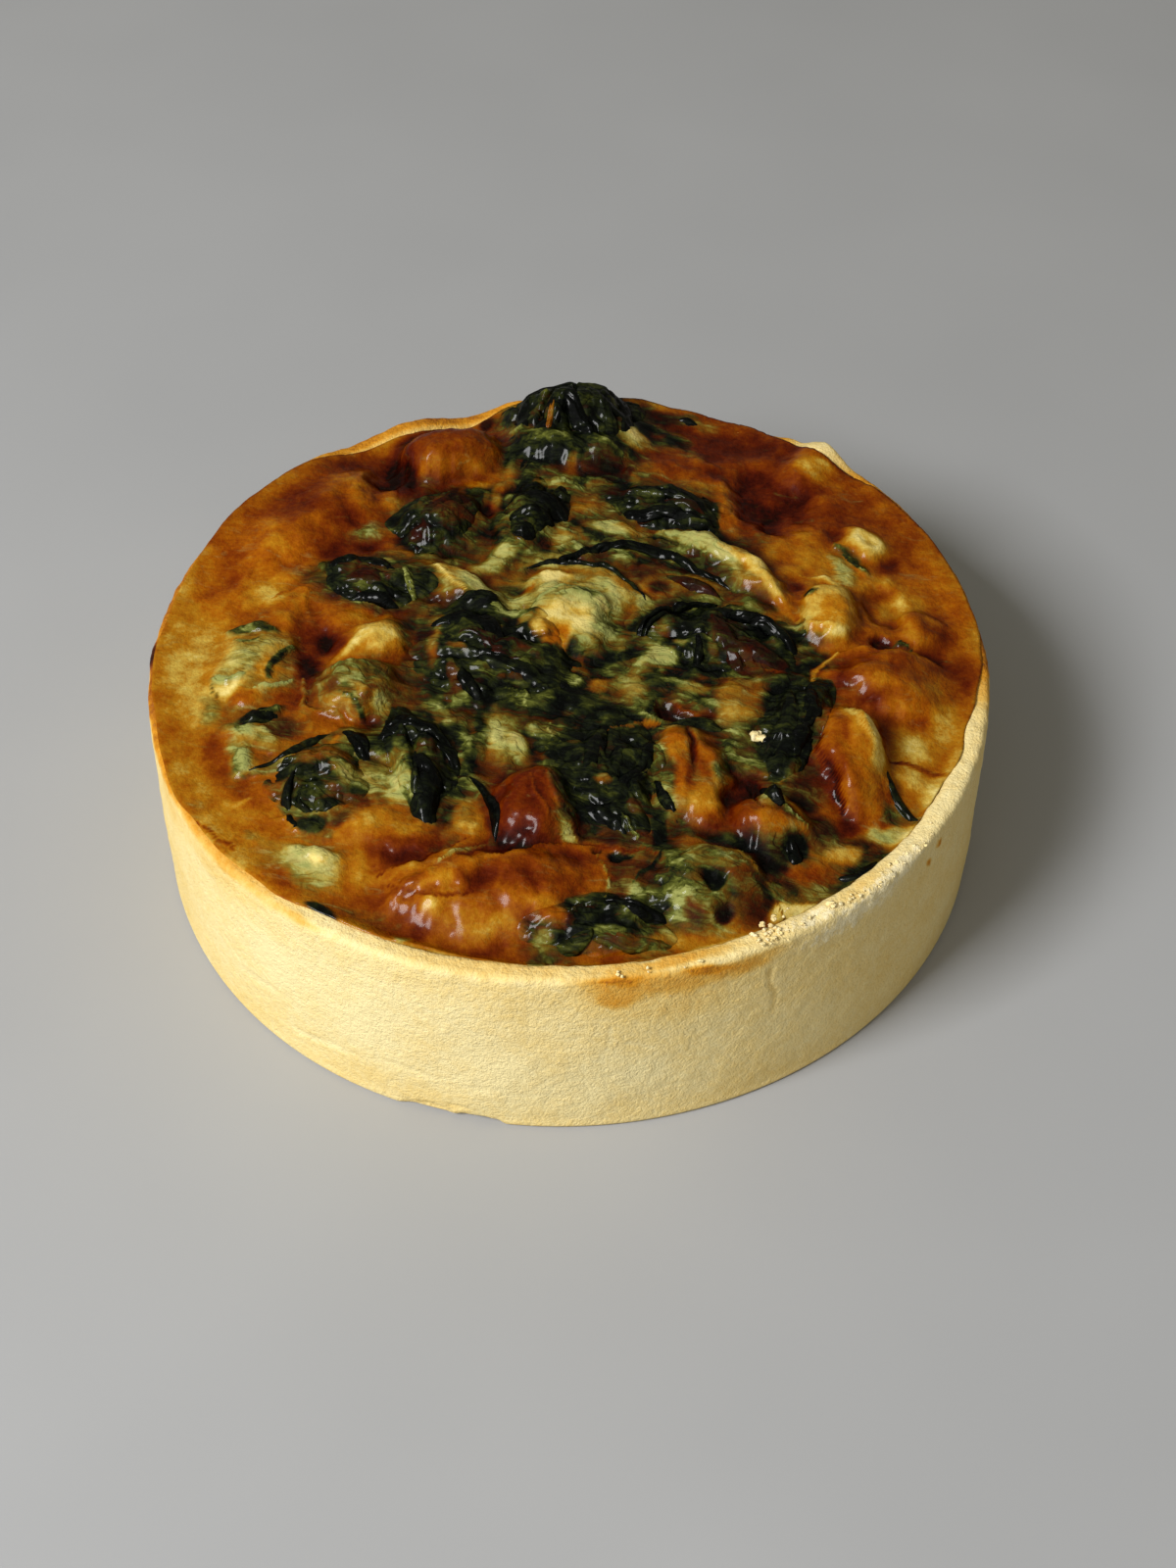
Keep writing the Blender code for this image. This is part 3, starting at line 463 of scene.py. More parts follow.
    ("umber", -15, -9, 1.6, 1.2, 0, 0, 0.9), ("leaf", -15, -0.4, 1.8, 1.2, 0, 0, 0.8),
    ("black", -0.6, 39, 2.2, 1.6, 0, 0.2, 0.7), ("olive", -6, 24, 1.4, 1.2, 0, 0.1, 0.9),
    ("umber", -21, 21, 1.8, 1.4, 0, 0, 0.9), ("oxblood", -19.4, 42, 5, 4.8, 10, 0, 0.9),
    ("brown", -15, 41, 3.4, 4.4, 0, 0, 0.9), ("brown", -17, 37.2, 3.8, 1.8, -8, 0, 1.0),
    ("amber", -12.8, 34.4, 2.8, 1.4, -10, 0.1, 0.9), ("rust", -27.4, 36.4, 2, 2.6, 20, 0, 1.0),
    ("brown", -36, 27, 4, 3, 60, 0, 1.0), ("gold", 34.4, 36.2, 3.2, 1.7, -35, 0.2, 0.9),
    ("butter", -39.4, 10.6, 1.8, 2.4, 10, 0, 1.0), ("gold", -39, -4.4, 1.6, 2.6, 0, 0, 0.9),
    ("lime", -45, -5.6, 1.8, 1.6, 0, 0, 0.9), ("amber", -27.2, 6, 2.4, 1.2, -10, 0.1, 0.9),
    ("brown", -30.6, 0, 1.4, 1.6, 20, -0.2, 0.9), ("bark", -26.8, -12, 1.8, 0.8, 20, 0, 0.9),
    # the orange spot at 48.2, 6 is a painted highlight on the rust blister, lighter than its skin
    ("olive", -42, -15, 1.4, 1, 0, 0, 0.8), ("orange", 48.2, 6, 1.4, 1, 0, 0.2, 0.9),
    ("rust", 18, -30.4, 1.4, 1.2, 0, 0, 0.9), ("gold", 48.2, -6, 2, 2.4, 0, 0, 1.0),
    # the butter strip at 38.2, -16.4 is a painted highlight on the right lump
    ("gold", 39.6, -21.4, 1.5, 2, 0, 0, 1.0), ("butter", 38.2, -16.4, 1.4, 3, 8, 0.4, 0.9),
    # the butter wash at 42, -20.4 is painted light on the right lump's shaded flank
    ("butter", 42, -20.4, 2, 6, 4, 0, 1.0), ("gold", 34.6, -0.2, 2.6, 1, -10, 0, 1.0),
    ("gold", 42, -24, 1.4, 1.6, 0, 0, 0.9), ("rust", 36, -26.6, 1.6, 2.4, 0, 0, 0.9),
    ("lime", -5.8, 3.2, 1.3, 1.4, 0, 0, 0.9), ("amber", -17.6, 33.4, 2, 1.2, 0, 0, 1.0),
    ("gold", -13.4, 33.2, 2, 1, -10, 0, 0.9), ("ochre", -9, 34.4, 1.4, 2, 0, 0.1, 0.9),
    ("orange", -27.2, 36, 1.4, 1.6, 0, 0, 1.0), ("gold", -27, 6, 1.8, 0.9, -10, 0, 0.9),
    ("lime", -3, 18, 1.8, 0.9, -10, 0, 0.9), ("pale", -9, 18, 1.4, 1, 0, 0.1, 0.9),
    ("pale", 5.8, 6, 1.3, 0.9, -20, 0, 0.9), ("pale", 0, 9.2, 1.8, 0.8, -10, 0, 0.9),
    ("sage", -2.4, -18, 1.3, 1.2, 0, 0, 0.9), ("olive", 0.4, -18, 1.2, 1, 0, 0, 0.9),
    ("sage", 7.4, -45, 2, 0.9, -10, 0.1, 0.9), ("bark", 12.4, 44.6, 1.6, 0.9, -20, 0, 0.9),
    ("ochre", 27, 6, 1.3, 1.2, 0, 0, 0.9), ("sage", 12, -6, 1.3, 0.8, 0, 0, 0.9),
    ("pale", 21, 15.2, 1.8, 1, -40, 0.1, 0.9), ("bark", -30.2, -9, 1.2, 1.4, 0, 0, 0.9),
    ("umber", 27, -30, 1.4, 1.2, 0, 0, 0.9), ("rust", 20, -26, 1, 1.6, 0, 0, 0.9),
    ("brown", -21, 36.4, 1.8, 1.4, 0, 0, 1.0), ("rust", -18.2, -41, 1.8, 1, 30, 0.4, 0.8),
    ("orange", -20.8, -43.6, 1.8, 1.1, -20, 0.4, 0.8), ("gold", -15.6, -44.6, 1.8, 1, 30, 0.4, 0.8),
    ("rust", -12.4, -40.6, 1.4, 1, -30, 0.3, 0.8), ("orange", -2.6, -44.4, 4, 1.9, -18, 0.2, 0.8),
    ("glow", 33.4, 3.4, 2, 1.4, 0, 0, 1.0),
)
# Ridges and skin edges: look, width left and right of the run, height, places along it.
EDGES = (
    ("amber", 0.8, 2.2, 0.45, (-25, -39.4), (-19, -38.2), (-15.4, -36.6), (-12, -34.2), (-10.2, -32.8)),
    ("brown", 0.3, 0.4, 0, (-23, -39), (-19, -37.8), (-15.4, -36.2), (-12, -33.8)),
    ("brown", 0.5, 0.5, -0.3, (-21.6, -40.8), (-18, -42.8), (-14, -43.4), (-10.6, -42.4)),
    ("orange", 0.4, 2.4, 0.9, (-9, -36.8), (-4, -35.2), (0, -34.6), (4, -35)),
    ("lime", 0.3, 0.5, 0.2, (4.4, -36.2), (4.6, -39), (4.4, -42.4)),
    ("black", 0.5, 0.5, 0.3, (11.4, -36.2), (9.8, -38.4), (8, -40.6)),
    ("umber", 0.6, 1.0, 0.6, (0.4, -45.6), (1.8, -44), (3.4, -43)),
    ("brown", 0.4, 0.7, 0.3, (1.4, -34.4), (5, -34.8), (10.6, -36.2)),
    ("olive", 0.25, 0.4, 0.5, (20, -35.8), (23.2, -38.4), (25.2, -41.4), (26, -43.8)),
    ("olive", 0.2, 0.35, 0.4, (19.4, -37), (22.4, -39.6), (24, -43.2)),
    ("orange", 0.35, 3.5, 1.0, (34.6, -0.6), (40, 0), (45.6, -0.4), (48, -1.4)),
    ("butter", 0.4, 1.0, 0.4, (34.4, -1.2), (32.8, -3.2), (31.4, -5.4)),
    ("oxblood", 0.6, 0.5, -0.5, (31.6, -18), (32.6, -23), (34, -28)),
    ("rust", 0.3, 0.9, 0.3, (40.8, -19.4), (43.6, -19), (47, -20.6)),
    # these two amber ridges are real ridges, painted lighter as the right lump's highlight streaks
    ("amber", 0.6, 0.8, 0.7, (36.2, -9.2), (38, -12), (39.6, -15.2), (40.2, -17.6)),
    ("amber", 0.5, 0.8, 0.6, (35, -12), (36.4, -14.8), (37.8, -17.8)),
    ("orange", 0.4, 0.8, 0.5, (-39.5, 9.4), (-38.6, 11.2), (-36, 11), (-34.6, 8.4), (-34.2, 5.4)),
    ("orange", 0.5, 1.0, 0.4, (-44.4, 10.5), (-44.2, 14), (-42.6, 17)),
    ("ochre", 0.4, 0.9, 0.5, (-34.4, -6.4), (-33.2, -11.4), (-30.4, -12.6), (-28.4, -14.4)),
    ("olive", 0.4, 0.8, 0.4, (-31.6, -5.4), (-28.4, -6.2), (-24.4, -6)),
    ("leaf", 0.3, 0.6, 0.3, (-29.4, -10.8), (-27.4, -12.4), (-25.6, -14.4)),
    ("moss", 0.3, 0.5, 0.2, (-44.2, 1.6), (-42.4, 0.2), (-40.8, 0.8)),
    ("leaf", 0.7, 0.9, 0.3, (-36.4, -0.4), (-38, -3), (-38.4, -6.2)),
    ("sage", 0.5, 0.6, 0.3, (-36, -6.6), (-38, -7.6), (-40.2, -8)),
    ("sage", 0.5, 0.6, 0.3, (-46.4, -5), (-44.6, -6.2), (-42, -5.8)),
    ("moss", 0.3, 0.5, 0.2, (-45.8, -6.6), (-45.4, -8.6)),
    # this gold ridge is partly a real ridge and partly a painted highlight
    ("gold", 0.8, 1.0, 0.3, (-43.2, -25.6), (-41, -26.6), (-39.4, -25.8)),
    ("amber", 0.4, 0.8, 0.5, (-37, -29.8), (-35, -29.6), (-33.2, -31.6)),
    ("rust", 0.4, 0.5, 0.3, (-45.6, -29), (-43.6, -31.4), (-40.6, -34.2)),
    # this pale crest is partly the pale veil and partly a painted highlight
    ("pale", 0.9, 1.0, 0.3, (-23, -23.6), (-20.8, -25.6), (-18.6, -28.4)),
    # this pale crest is partly the cream lump's ridge and partly a painted highlight
    ("pale", 0.6, 0.8, 0.3, (-33.8, -36.4), (-31, -36.2), (-28.8, -38)),
    ("lime", 0.5, 0.6, 0.2, (-15.4, -38), (-12.4, -36), (-10, -34.6)),
    ("pale", 1.6, 2.2, 0.4, (12.4, 22.4), (16.8, 19.6), (20.4, 16.6)),
    ("gold", 1.2, 1.5, 0.5, (20, 17.4), (24, 14.4), (27.4, 10), (29.6, 5.6)),
    ("olive", 0.4, 0.8, 0.3, (0, 19.8), (8, 21.6), (14, 19.4), (21, 13.8)),
    ("sage", 0.5, 0.8, 0.3, (-6.4, 6.6), (-2, 8.4), (2, 8), (5.6, 6)),
    ("leaf", 0.3, 0.4, 0.3, (-12.4, 8.2), (-8.6, 7.2), (-5.4, 5.2)),
    ("butter", 0.4, 0.9, 0.4, (-19.4, 15), (-17, 11.8), (-14.6, 8.8)),
    ("rust", 0.4, 1.2, 0.5, (-24.6, 40), (-21, 44), (-15.5, 45.4), (-11.8, 43)),
    ("oxblood", 0.6, 0.6, -0.3, (15.2, -15.6), (15.4, -18.4), (15.2, -22)),
    ("rust", 0.3, 0.5, 0.5, (11.4, -9.4), (13.8, -9.8), (15.8, -11.6), (15.2, -14)),
    # this sage ridge is partly a real ridge and partly a painted highlight
    ("sage", 0.4, 0.5, 0.5, (24.2, -25.2), (26.4, -29), (29.6, -32)),
    ("brown", 0.4, 0.5, -0.4, (20.2, -22.4), (22.4, -25.4), (24.2, -30.2)),
    ("umber", 0.7, 0.9, 0.3, (-2.2, -25.8), (-0.4, -29.4), (1.4, -33.6)),
    ("rust", 0.4, 0.6, 0.4, (-4.6, -26), (-3.4, -29.4), (-2, -33)),
    ("rust", 0.3, 0.6, 0.35, (-8, -23.8), (-5.4, -23.6), (-3.6, -21.6)),
    # these two sage lines are partly leaf colour and partly a painted highlight
    ("sage", 0.3, 0.3, 0.3, (-6.8, -4.4), (-5, -5), (-3.6, -6.6)),
    ("sage", 0.3, 0.3, 0.3, (-8.8, -8.8), (-6.8, -8.8), (-5.2, -10.6)),
    ("pale", 0.25, 0.3, 0.3, (-2.4, -12.6), (-1.8, -15), (-0.6, -18.4)),
    ("pale", 0.3, 0.3, 0.3, (-6.6, -16.4), (-7.4, -18), (-8.2, -19.4)),
    # this sage ridge is partly a real ridge and partly a painted highlight
    ("sage", 0.4, 0.4, 0.5, (6.2, -30.6), (7, -32.4), (7.8, -34)),
    ("umber", 0.3, 0.4, 0.3, (12, -4.6), (17, -5.4), (22, -6), (26, -4.6)),
    ("amber", 0.4, 0.6, 0.4, (5.4, -15.6), (8.4, -14.4), (11.6, -13.6)),
    ("moss", 0.6, 0.7, 0.2, (36.2, 20.4), (38, 18), (39.8, 15.8)),
    ("orange", 0.5, 0.9, 0.3, (-49.4, -28.2), (-46.6, -30.2), (-44, -32.6), (-41.6, -36.4)),
    ("leaf", 0.4, 0.5, 0, (42.6, 2), (44, 1.6), (45.2, 0.8)),
    ("butter", 0.5, 0.6, 0.3, (31, 14.4), (34, 14.4), (36.6, 11), (37.8, 8)),
    # this gold ridge is partly a real ridge and partly a painted highlight
    ("gold", 0.4, 0.6, 0.4, (30.4, 4.8), (32, 3.6), (33.8, 2.6)),
    ("rust", 0.4, 0.6, 0.4, (45.6, 6.4), (48, 7), (50.4, 5.2)),
)
EDGE_STEP = 0.5
EDGE_COVER = 0.8  # how far a ridge's look hides what it crosses

OVER_RIM = (0.97, 1.03)  # share of the inner radius where the custard climbs onto the rim
RIM_SKIN = 0.15  # thickness of what ran over it
EDGE_STRENGTH = 0.35  # share of a patch's height that is left at the custard's edge
BASE_TONE = (-0.3, 0.4)
WASH = 0.85  # how far juice and milk hide the spinach under them
BUMPS = ((0.5, 4.4, 41), (0.22, 2.0, 47))  # unevenness of the skin: height, scale, seed
RIM_BUMPS = 0.3  # share of it that is left at the edge
FOLD_RUN = -14.0  # degrees
FOLD_STRETCH = 2.4
FOLD_HEIGHT = 1.1
FOLD_SHADE = 0.5
WRINKLE_DEPTH = 0.26


class Surface:
    """Heights and paint at places, and how far marks cover them."""

    def __init__(self, x, y, level, paint, strength, palette):
        self.x, self.y = x, y
        self.level, self.paint, self.strength = level, paint, strength
        self.palette = palette
        self.marks = np.zeros(len(x))

    def near(self, cx, cy, reach):
        return np.flatnonzero((np.abs(self.x - cx) < reach) & (np.abs(self.y - cy) < reach))

    def lay(self, at, look, share, rise):
        """Covers points with a share of a look, and raises them."""
        self.paint[at] = mixed(self.paint[at], self.palette[look], share[:, None])
        self.level[at] += rise * self.strength[at]
        self.marks[at] = np.maximum(self.marks[at], share)

    def lay_patches(self, rows):
        for look, cx, cy, length, width, turn, height, soft in rows:
            at = self.near(cx, cy, 1.6 * max(length, width))
            reach = near_ellipse(self.x[at], self.y[at], cx, cy, length, width, turn)
            share = 1.0 - between(1.0 - 0.75 * soft, 1.0 + 0.6 * soft, reach)
            self.lay(at, look, share, height * share)

    def lay_edges(self, rows):
        for look, left, right, height, *points in rows:
            line = run_places(points, EDGE_STEP)
            middle = (line.max(0) + line.min(0)) / 2
            wide = (line.max(0) - line.min(0)).max() / 2
            at = self.near(middle[0], middle[1], wide + max(left, right))
            if not at.size:
                continue
            ahead = run_ahead(line)
            dx = self.x[at][:, None] - line[:, 0]
            dy = self.y[at][:, None] - line[:, 1]
            gap = np.hypot(dx, dy)
            nearest = gap.argmin(1)
            pick = np.arange(len(at))
            side = ahead[nearest, 0] * dy[pick, nearest] - ahead[nearest, 1] * dx[pick, nearest]
            along = nearest / (len(line) - 1)
            taper = np.sqrt(np.clip(np.sin(math.pi * (0.04 + 0.92 * along)), 0.0, 1.0))
            width = np.where(side > 0.0, left, right) * (0.35 + 0.65 * taper)
            share = 1.0 - smooth(gap[pick, nearest] / width)
            self.lay(at, look, smooth(share * 1.6) * EDGE_COVER, height * share * taper)


def near_ellipse(x, y, cx, cy, length, width, turn):
    """0 at the middle of an ellipse, 1 on its outline."""
    cos, sin = cos_sin(turn)
    dx, dy = x - cx, y - cy
    return np.hypot((dx * cos + dy * sin) / length, (dy * cos - dx * sin) / width)


def wandered(x, y):
    """The same places, shifted a little so that outlines run as unevenly as baked ones."""
    dx, dy = [clouds((x, y), 4.0, 2, seed) + 0.18 * grain((x, y), 1.1, seed + 3) for seed in (21, 31)]
    return x + dx, y + dy


def filled_level(bearing, reach):
    """Height of the custard without its lumps, from its edge up to its crown."""
    over = between(*OVER_RIM, reach)
    rim = CASE_HEIGHT + around(RIM_LIFT, bearing)
    edge = rim - around(FILL_DROP, bearing) * (1.0 - over) + RIM_SKIN * over
    return edge + (CASE_HEIGHT + CROWN - edge) * smooth((1.0 - reach) / SHOULDER)


def wash(surface):
    """Browned juice and milky custard over the zones of spinach."""
    place = (surface.x, surface.y)
    leafy = surface.paint[:, 1].copy()
    bits = clouds(place, 3.4, 3, 151)
    juice = leafy * between(0.05, 0.35, bits)
    milk = leafy * between(0.30, 0.55, clouds(place, 2.6, 3, 155))
    for look, share in (("ochre", juice), ("lime", milk)):
        surface.paint = mixed(surface.paint, PALETTE[look], WASH * share[:, None])
    surface.paint[:, 2] += 0.2 * leafy * between(0.0, 0.4, -bits)


def fold(surface, x, y):
    """Folds where spinach shows, with painted shade in their creases, and wrinkles in the browned skin."""
    cos, sin = cos_sin(FOLD_RUN)
    wx, wy, paint = surface.x, surface.y, surface.paint
    along, across = wx * cos + wy * sin, wy * cos - wx * sin
    folds = 0.75 * creases((along / FOLD_STRETCH, across), 3.0, 2, 161)
    folds = folds + 0.25 * creases((x, y), 1.6, 2, 165)
    leafy = np.clip(paint[:, 1], 0.0, 1.0) * surface.strength
    surface.level = surface.level + FOLD_HEIGHT * leafy * (folds - 0.45)
    # painted shade: darker paint in the folds' crease lines
    shade = FOLD_SHADE * leafy * (0.42 - folds) - 0.25 * leafy * clouds((x, y), 2.0, 2, 171)
    paint[:, 2] = np.clip(paint[:, 2] + shade, 0.0, 1.0)
    skin = between(0.4, 0.6, paint[:, 0]) * (1.0 - paint[:, 1])
    wrinkles = (1.0 - creases((wx, wy), 2.2, 3, 45)) ** 2
    surface.level = surface.level - WRINKLE_DEPTH * skin * wrinkles


def relief(x, y):
    """Height in mm, paint and marks of the custard's top at places in mm."""
    reach = np.hypot(x, y) / inner_radius(CASE_HEIGHT)
    calm = smooth((1.0 - reach) / CALM)
    level = filled_level(np.arctan2(y, x), reach)
    wx, wy = wandered(x, y)
    for cx, cy, length, width, height, turn in LUMPS:
        near = near_ellipse(wx, wy, cx, cy, length, width, turn)
        level = level + height * smooth((1.0 - near * near) * LUMP_STEEPNESS) * calm
    tone = between(*BASE_TONE, clouds((x, y), 9.0, 3, 51))[:, None]
    paint = mixed(PALETTE["amber"], PALETTE["gold"], tone)
    strength = EDGE_STRENGTH + (1.0 - EDGE_STRENGTH) * calm
    surface = Surface(wx, wy, level, paint, strength, PALETTE)
    surface.lay_patches(ZONES)
    wash(surface)
    for _, _, half, _, *places in LEAVES:
        surface.lay_edges(((LEAF_BED, LEAF_BED_WIDTH * half, LEAF_BED_WIDTH * half, 0.3, *places),))
    surface.marks[:] = 0.0
    surface.lay_patches(PATCHES)
    surface.lay_edges(EDGES)
    for height, scale, seed in BUMPS:
        rise = height * clouds((x, y), scale, 3, seed) * (RIM_BUMPS + (1.0 - RIM_BUMPS) * calm)
        surface.level = surface.level + rise
    fold(surface, x, y)
    return surface.level, surface.paint, surface.marks


# ---------------------------------------------------------------- meshes
PAINT = "paint"


def new_piece(name, points, faces, material, nodes=()):
    """A mesh object from points in mm, riding on the body and standing for nodes of the part."""
    mesh = bpy.data.meshes.new(name)
    mesh.from_pydata((np.asarray(points) * MM).tolist(), [], faces)
    mesh.update()
    mesh.shade_smooth()
    mesh.materials.append(material)
    piece = bpy.data.objects.new(name, mesh)
    bpy.context.scene.collection.objects.link(piece)
    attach(piece, "root")
    if nodes:
        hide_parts(*nodes)
    return piece


def give_paint(piece, paint):
    """Keeps two or three paint values at each point."""
    layer = piece.data.color_attributes.new(PAINT, "FLOAT_COLOR", "POINT")
    rgba = np.zeros((len(paint), 4))
    rgba[:, :np.shape(paint)[1]] = paint
    rgba[:, 3] = 1.0
    layer.data.foreach_set("color", rgba.ravel())


def grid_faces(rows, columns, closed=False):
    """Quads of a grid whose points run along its rows; closed joins the last column to the first."""
    faces = []
    for row in range(rows - 1):
        for column in range(columns if closed else columns - 1):
            after = (column + 1) % columns
            a, b = row * columns + column, row * columns + after
            faces.append((a, b, b + columns, a + columns))
    return faces


def ring_faces(upper, lower):
    """Quads from one closed ring of points down to the next."""
    following = zip(upper[1:] + upper[:1], upper, lower, lower[1:] + lower[:1])
    return list(following)


def cap_faces(ring, middle):
    """Triangles from a closed ring of points to one point."""
    return [(after, before, middle) for after, before in zip(ring[1:] + ring[:1], ring)]


def disc(size):
    """Even square grid pressed into a unit disc: x, y of its points."""
    line = np.linspace(-1.0, 1.0, size)
    a, b = [values.ravel() for values in np.meshgrid(line, line)]
    wide = np.abs(a) > np.abs(b)
    safe_a, safe_b = np.where(a == 0.0, 1.0, a), np.where(b == 0.0, 1.0, b)
    angle = np.where(wide, math.pi / 4 * b / safe_a, math.pi / 2 - math.pi / 4 * a / safe_b)
    reach = np.where(wide, a, b)
    reach[(a == 0.0) & (b == 0.0)] = 0.0
    return reach * np.cos(angle), reach * np.sin(angle)


def disc_border(size):
    """Indices of a disc grid's border, in order round it."""
    low = list(range(size))
    right = [row * size + size - 1 for row in range(1, size)]
    top = [(size - 1) * size + column for column in range(size - 2, -1, -1)]
    left = [row * size for row in range(size - 2, 0, -1)]
    return low + right + top + left


def shell(top, bottom):
    """Points and faces of a closed skin from two grids that share their outer points."""
    rows, columns = top.shape[:2]
    index = np.arange(rows * columns).reshape(rows, columns)
    under = index.copy()
    inner = (rows - 2) * (columns - 2)
    under[1:-1, 1:-1] = rows * columns + np.arange(inner).reshape(rows - 2, columns - 2)
    points = np.concatenate([top.reshape(-1, 3), bottom[1:-1, 1:-1].reshape(-1, 3)])
    faces = []
    for i in range(rows - 1):
        for j in range(columns - 1):
            faces.append((index[i, j], index[i + 1, j], index[i + 1, j + 1], index[i, j + 1]))
            faces.append((under[i, j], under[i, j + 1], under[i + 1, j + 1], under[i + 1, j]))
    return points, faces


# ---------------------------------------------------------------- the custard
CUSTARD_GRID = 296
STRETCHED = 0.8  # share of the radius from which the grid is pulled out to the uneven edge
EDGE_WANDER = 0.35
EDGE_WAVES = 9
EDGE_TURN_DOWN = 0.9
SIDE_HEIGHT = 20.0
HOLLOW_REACH = 4  # points of the grid over which a hollow is told from what lies round it
HOLLOW_ROUNDS = 4
HOLLOW_DEPTH = 0.9
HOLLOW_SHADE = 0.26


def paint_hollow_shade(heights, paint, size):
    """Painted shade: deepens the paint of a grid's hollows, where the surface lies below its surroundings.
    """
    soft = heights.reshape(size, size)
    low, high = slice(None, -2 * HOLLOW_REACH), slice(2 * HOLLOW_REACH, None)
    same = slice(HOLLOW_REACH, -HOLLOW_REACH)
    for _ in range(HOLLOW_ROUNDS):
        wide = np.pad(soft, HOLLOW_REACH, mode="edge")
        soft = (wide[low, same] + wide[high, same] + wide[same, low] + wide[same, high]) / 4
    hollow = np.clip((soft.ravel() - heights) / HOLLOW_DEPTH, -0.5, 1.0)
    for value in (0, 2):
        paint[:, value] = np.clip(paint[:, value] + HOLLOW_SHADE * hollow, 0.0, 1.0)


def custard_places():
    """x, y and bearing of the points of the custard's top."""
    ux, uy = disc(CUSTARD_GRID)
    bearing = np.arctan2(uy, ux)
    round_edge = (np.cos(bearing) * EDGE_WAVES, np.sin(bearing) * EDGE_WAVES)
    edge = around(CUSTARD_EDGE, bearing) + wobble(bearing) + EDGE_WANDER * grain(round_edge, 1.0, 61)
    full = inner_radius(CASE_HEIGHT)
    outer = smooth((np.hypot(ux, uy) - STRETCHED) / (1.0 - STRETCHED))
    stretch = full + (edge - full) * outer
    return ux * stretch, uy * stretch, bearing


def make_custard(material):
    x, y, bearing = custard_places()
    z, paint, _ = relief(x, y)
    # painted shade: the custard's hollows are darkened in the paint
    paint_hollow_shade(z, paint, CUSTARD_GRID)
    points = [np.stack([x, y, z], 1)]
    faces = grid_faces(CUSTARD_GRID, CUSTARD_GRID)
    border = disc_border(CUSTARD_GRID)
    floor = FLOOR_THICKNESS + CLEARANCE
    rings = [(np.hypot(x[border], y[border]), z[border] - EDGE_TURN_DOWN)]
    for height, share in ((SIDE_HEIGHT, 1.0), (floor, 1.0), (floor, 0.5)):
        rings.append(((inner_radius(height) - CLEARANCE) * share, height))
    upper, count = border, CUSTARD_GRID ** 2
    for reach, height in rings:
        ring = (reach * np.cos(bearing[border]), reach * np.sin(bearing[border]))
        points.append(np.stack([*ring, np.broadcast_to(height, len(border))], 1))
        lower = list(range(count, count + len(border)))
        faces += ring_faces(upper, lower)
        upper, count = lower, count + len(border)
    points.append(np.array([[0.0, 0.0, floor]]))
    faces += cap_faces(upper, count)
    points = np.concatenate(points)
    piece = new_piece("custard", points, faces, material, ["filling"])
    rest = np.tile(PALETTE["butter"], (len(points) - len(paint), 1))
    give_paint(piece, np.concatenate([paint, rest]))


# ---------------------------------------------------------------- the spinach
# Clumps, as in the solids but with a lower tuft: x, y, half length, half width, turn, rise, and the
# run of their folds.
CLUMPS = {
    "tuft": (0.0, 48.2, 10.0, 6.6, 0, 5.3, 88),
    "upper": (-4.8, 27.5, 7.4, 4.6, 80, 1.6, 70),
    "upper_left": (-18.8, 24.5, 6.4, 6.0, 30, 1.4, 30),
    "band": (13.5, 28.0, 9.2, 4.6, -15, 1.5, -8),
    "leaf_right": (20.0, 2.4, 12.0, 6.4, -12, 1.6, -12),
    "right": (28.6, -14.2, 9.4, 4.6, 68, 1.6, 55),
    "centre": (-10.0, -1.8, 11.4, 8.4, -12, 2.0, -8),
    "front_centre": (5.0, -22.0, 10.4, 7.6, 105, 1.8, 110),
    "curl": (-18.6, -20.5, 9.4, 4.4, 105, 2.3, 105),
    "left": (-31.0, -23.5, 6.2, 5.8, 0, 1.5, 0),
    "left_upper": (-26.5, 12.5, 8.4, 4.4, -18, 1.5, -15),
    "front": (4.5, -45.6, 9.2, 4.0, 4, 1.7, 5),
}
CLUMP_LOBES = ((3, 0.10), (5, 0.07))
CLUMP_GROWTH = 1.14  # of the grid past the outline, where it dips under the custard
CLUMP_GRID = 92
TUFT_GRID = 130
CLUMP_DEPTH = 1.6
CLUMP_RISE = 0.78  # share of the rise that is made before the folds
CLUMP_SINK = 1.0
CLUMP_FOLDS = 1.2
TUFT_FOLDS = 1.9
CLUMP_FOLD_STRETCH = 2.8
CLUMP_FOLD_SCALE = 3.2
CLUMP_FOLD_BEND = 1.6
CLUMP_RAGGED = 0.10
CLUMP_EDGE_FOLDS = 0.25  # share of the folds that is left at the outline
CLUMP_FOOT = 0.9  # size of the underside against the outline
CLUMP_BAKE = 0.6
CLUMP_DARK = 0.86
CLUMP_FOLD_SHADE = 0.30
CLUMP_MOTTLE = (0.25, 0.22)  # how far lighter patches lose green and dark

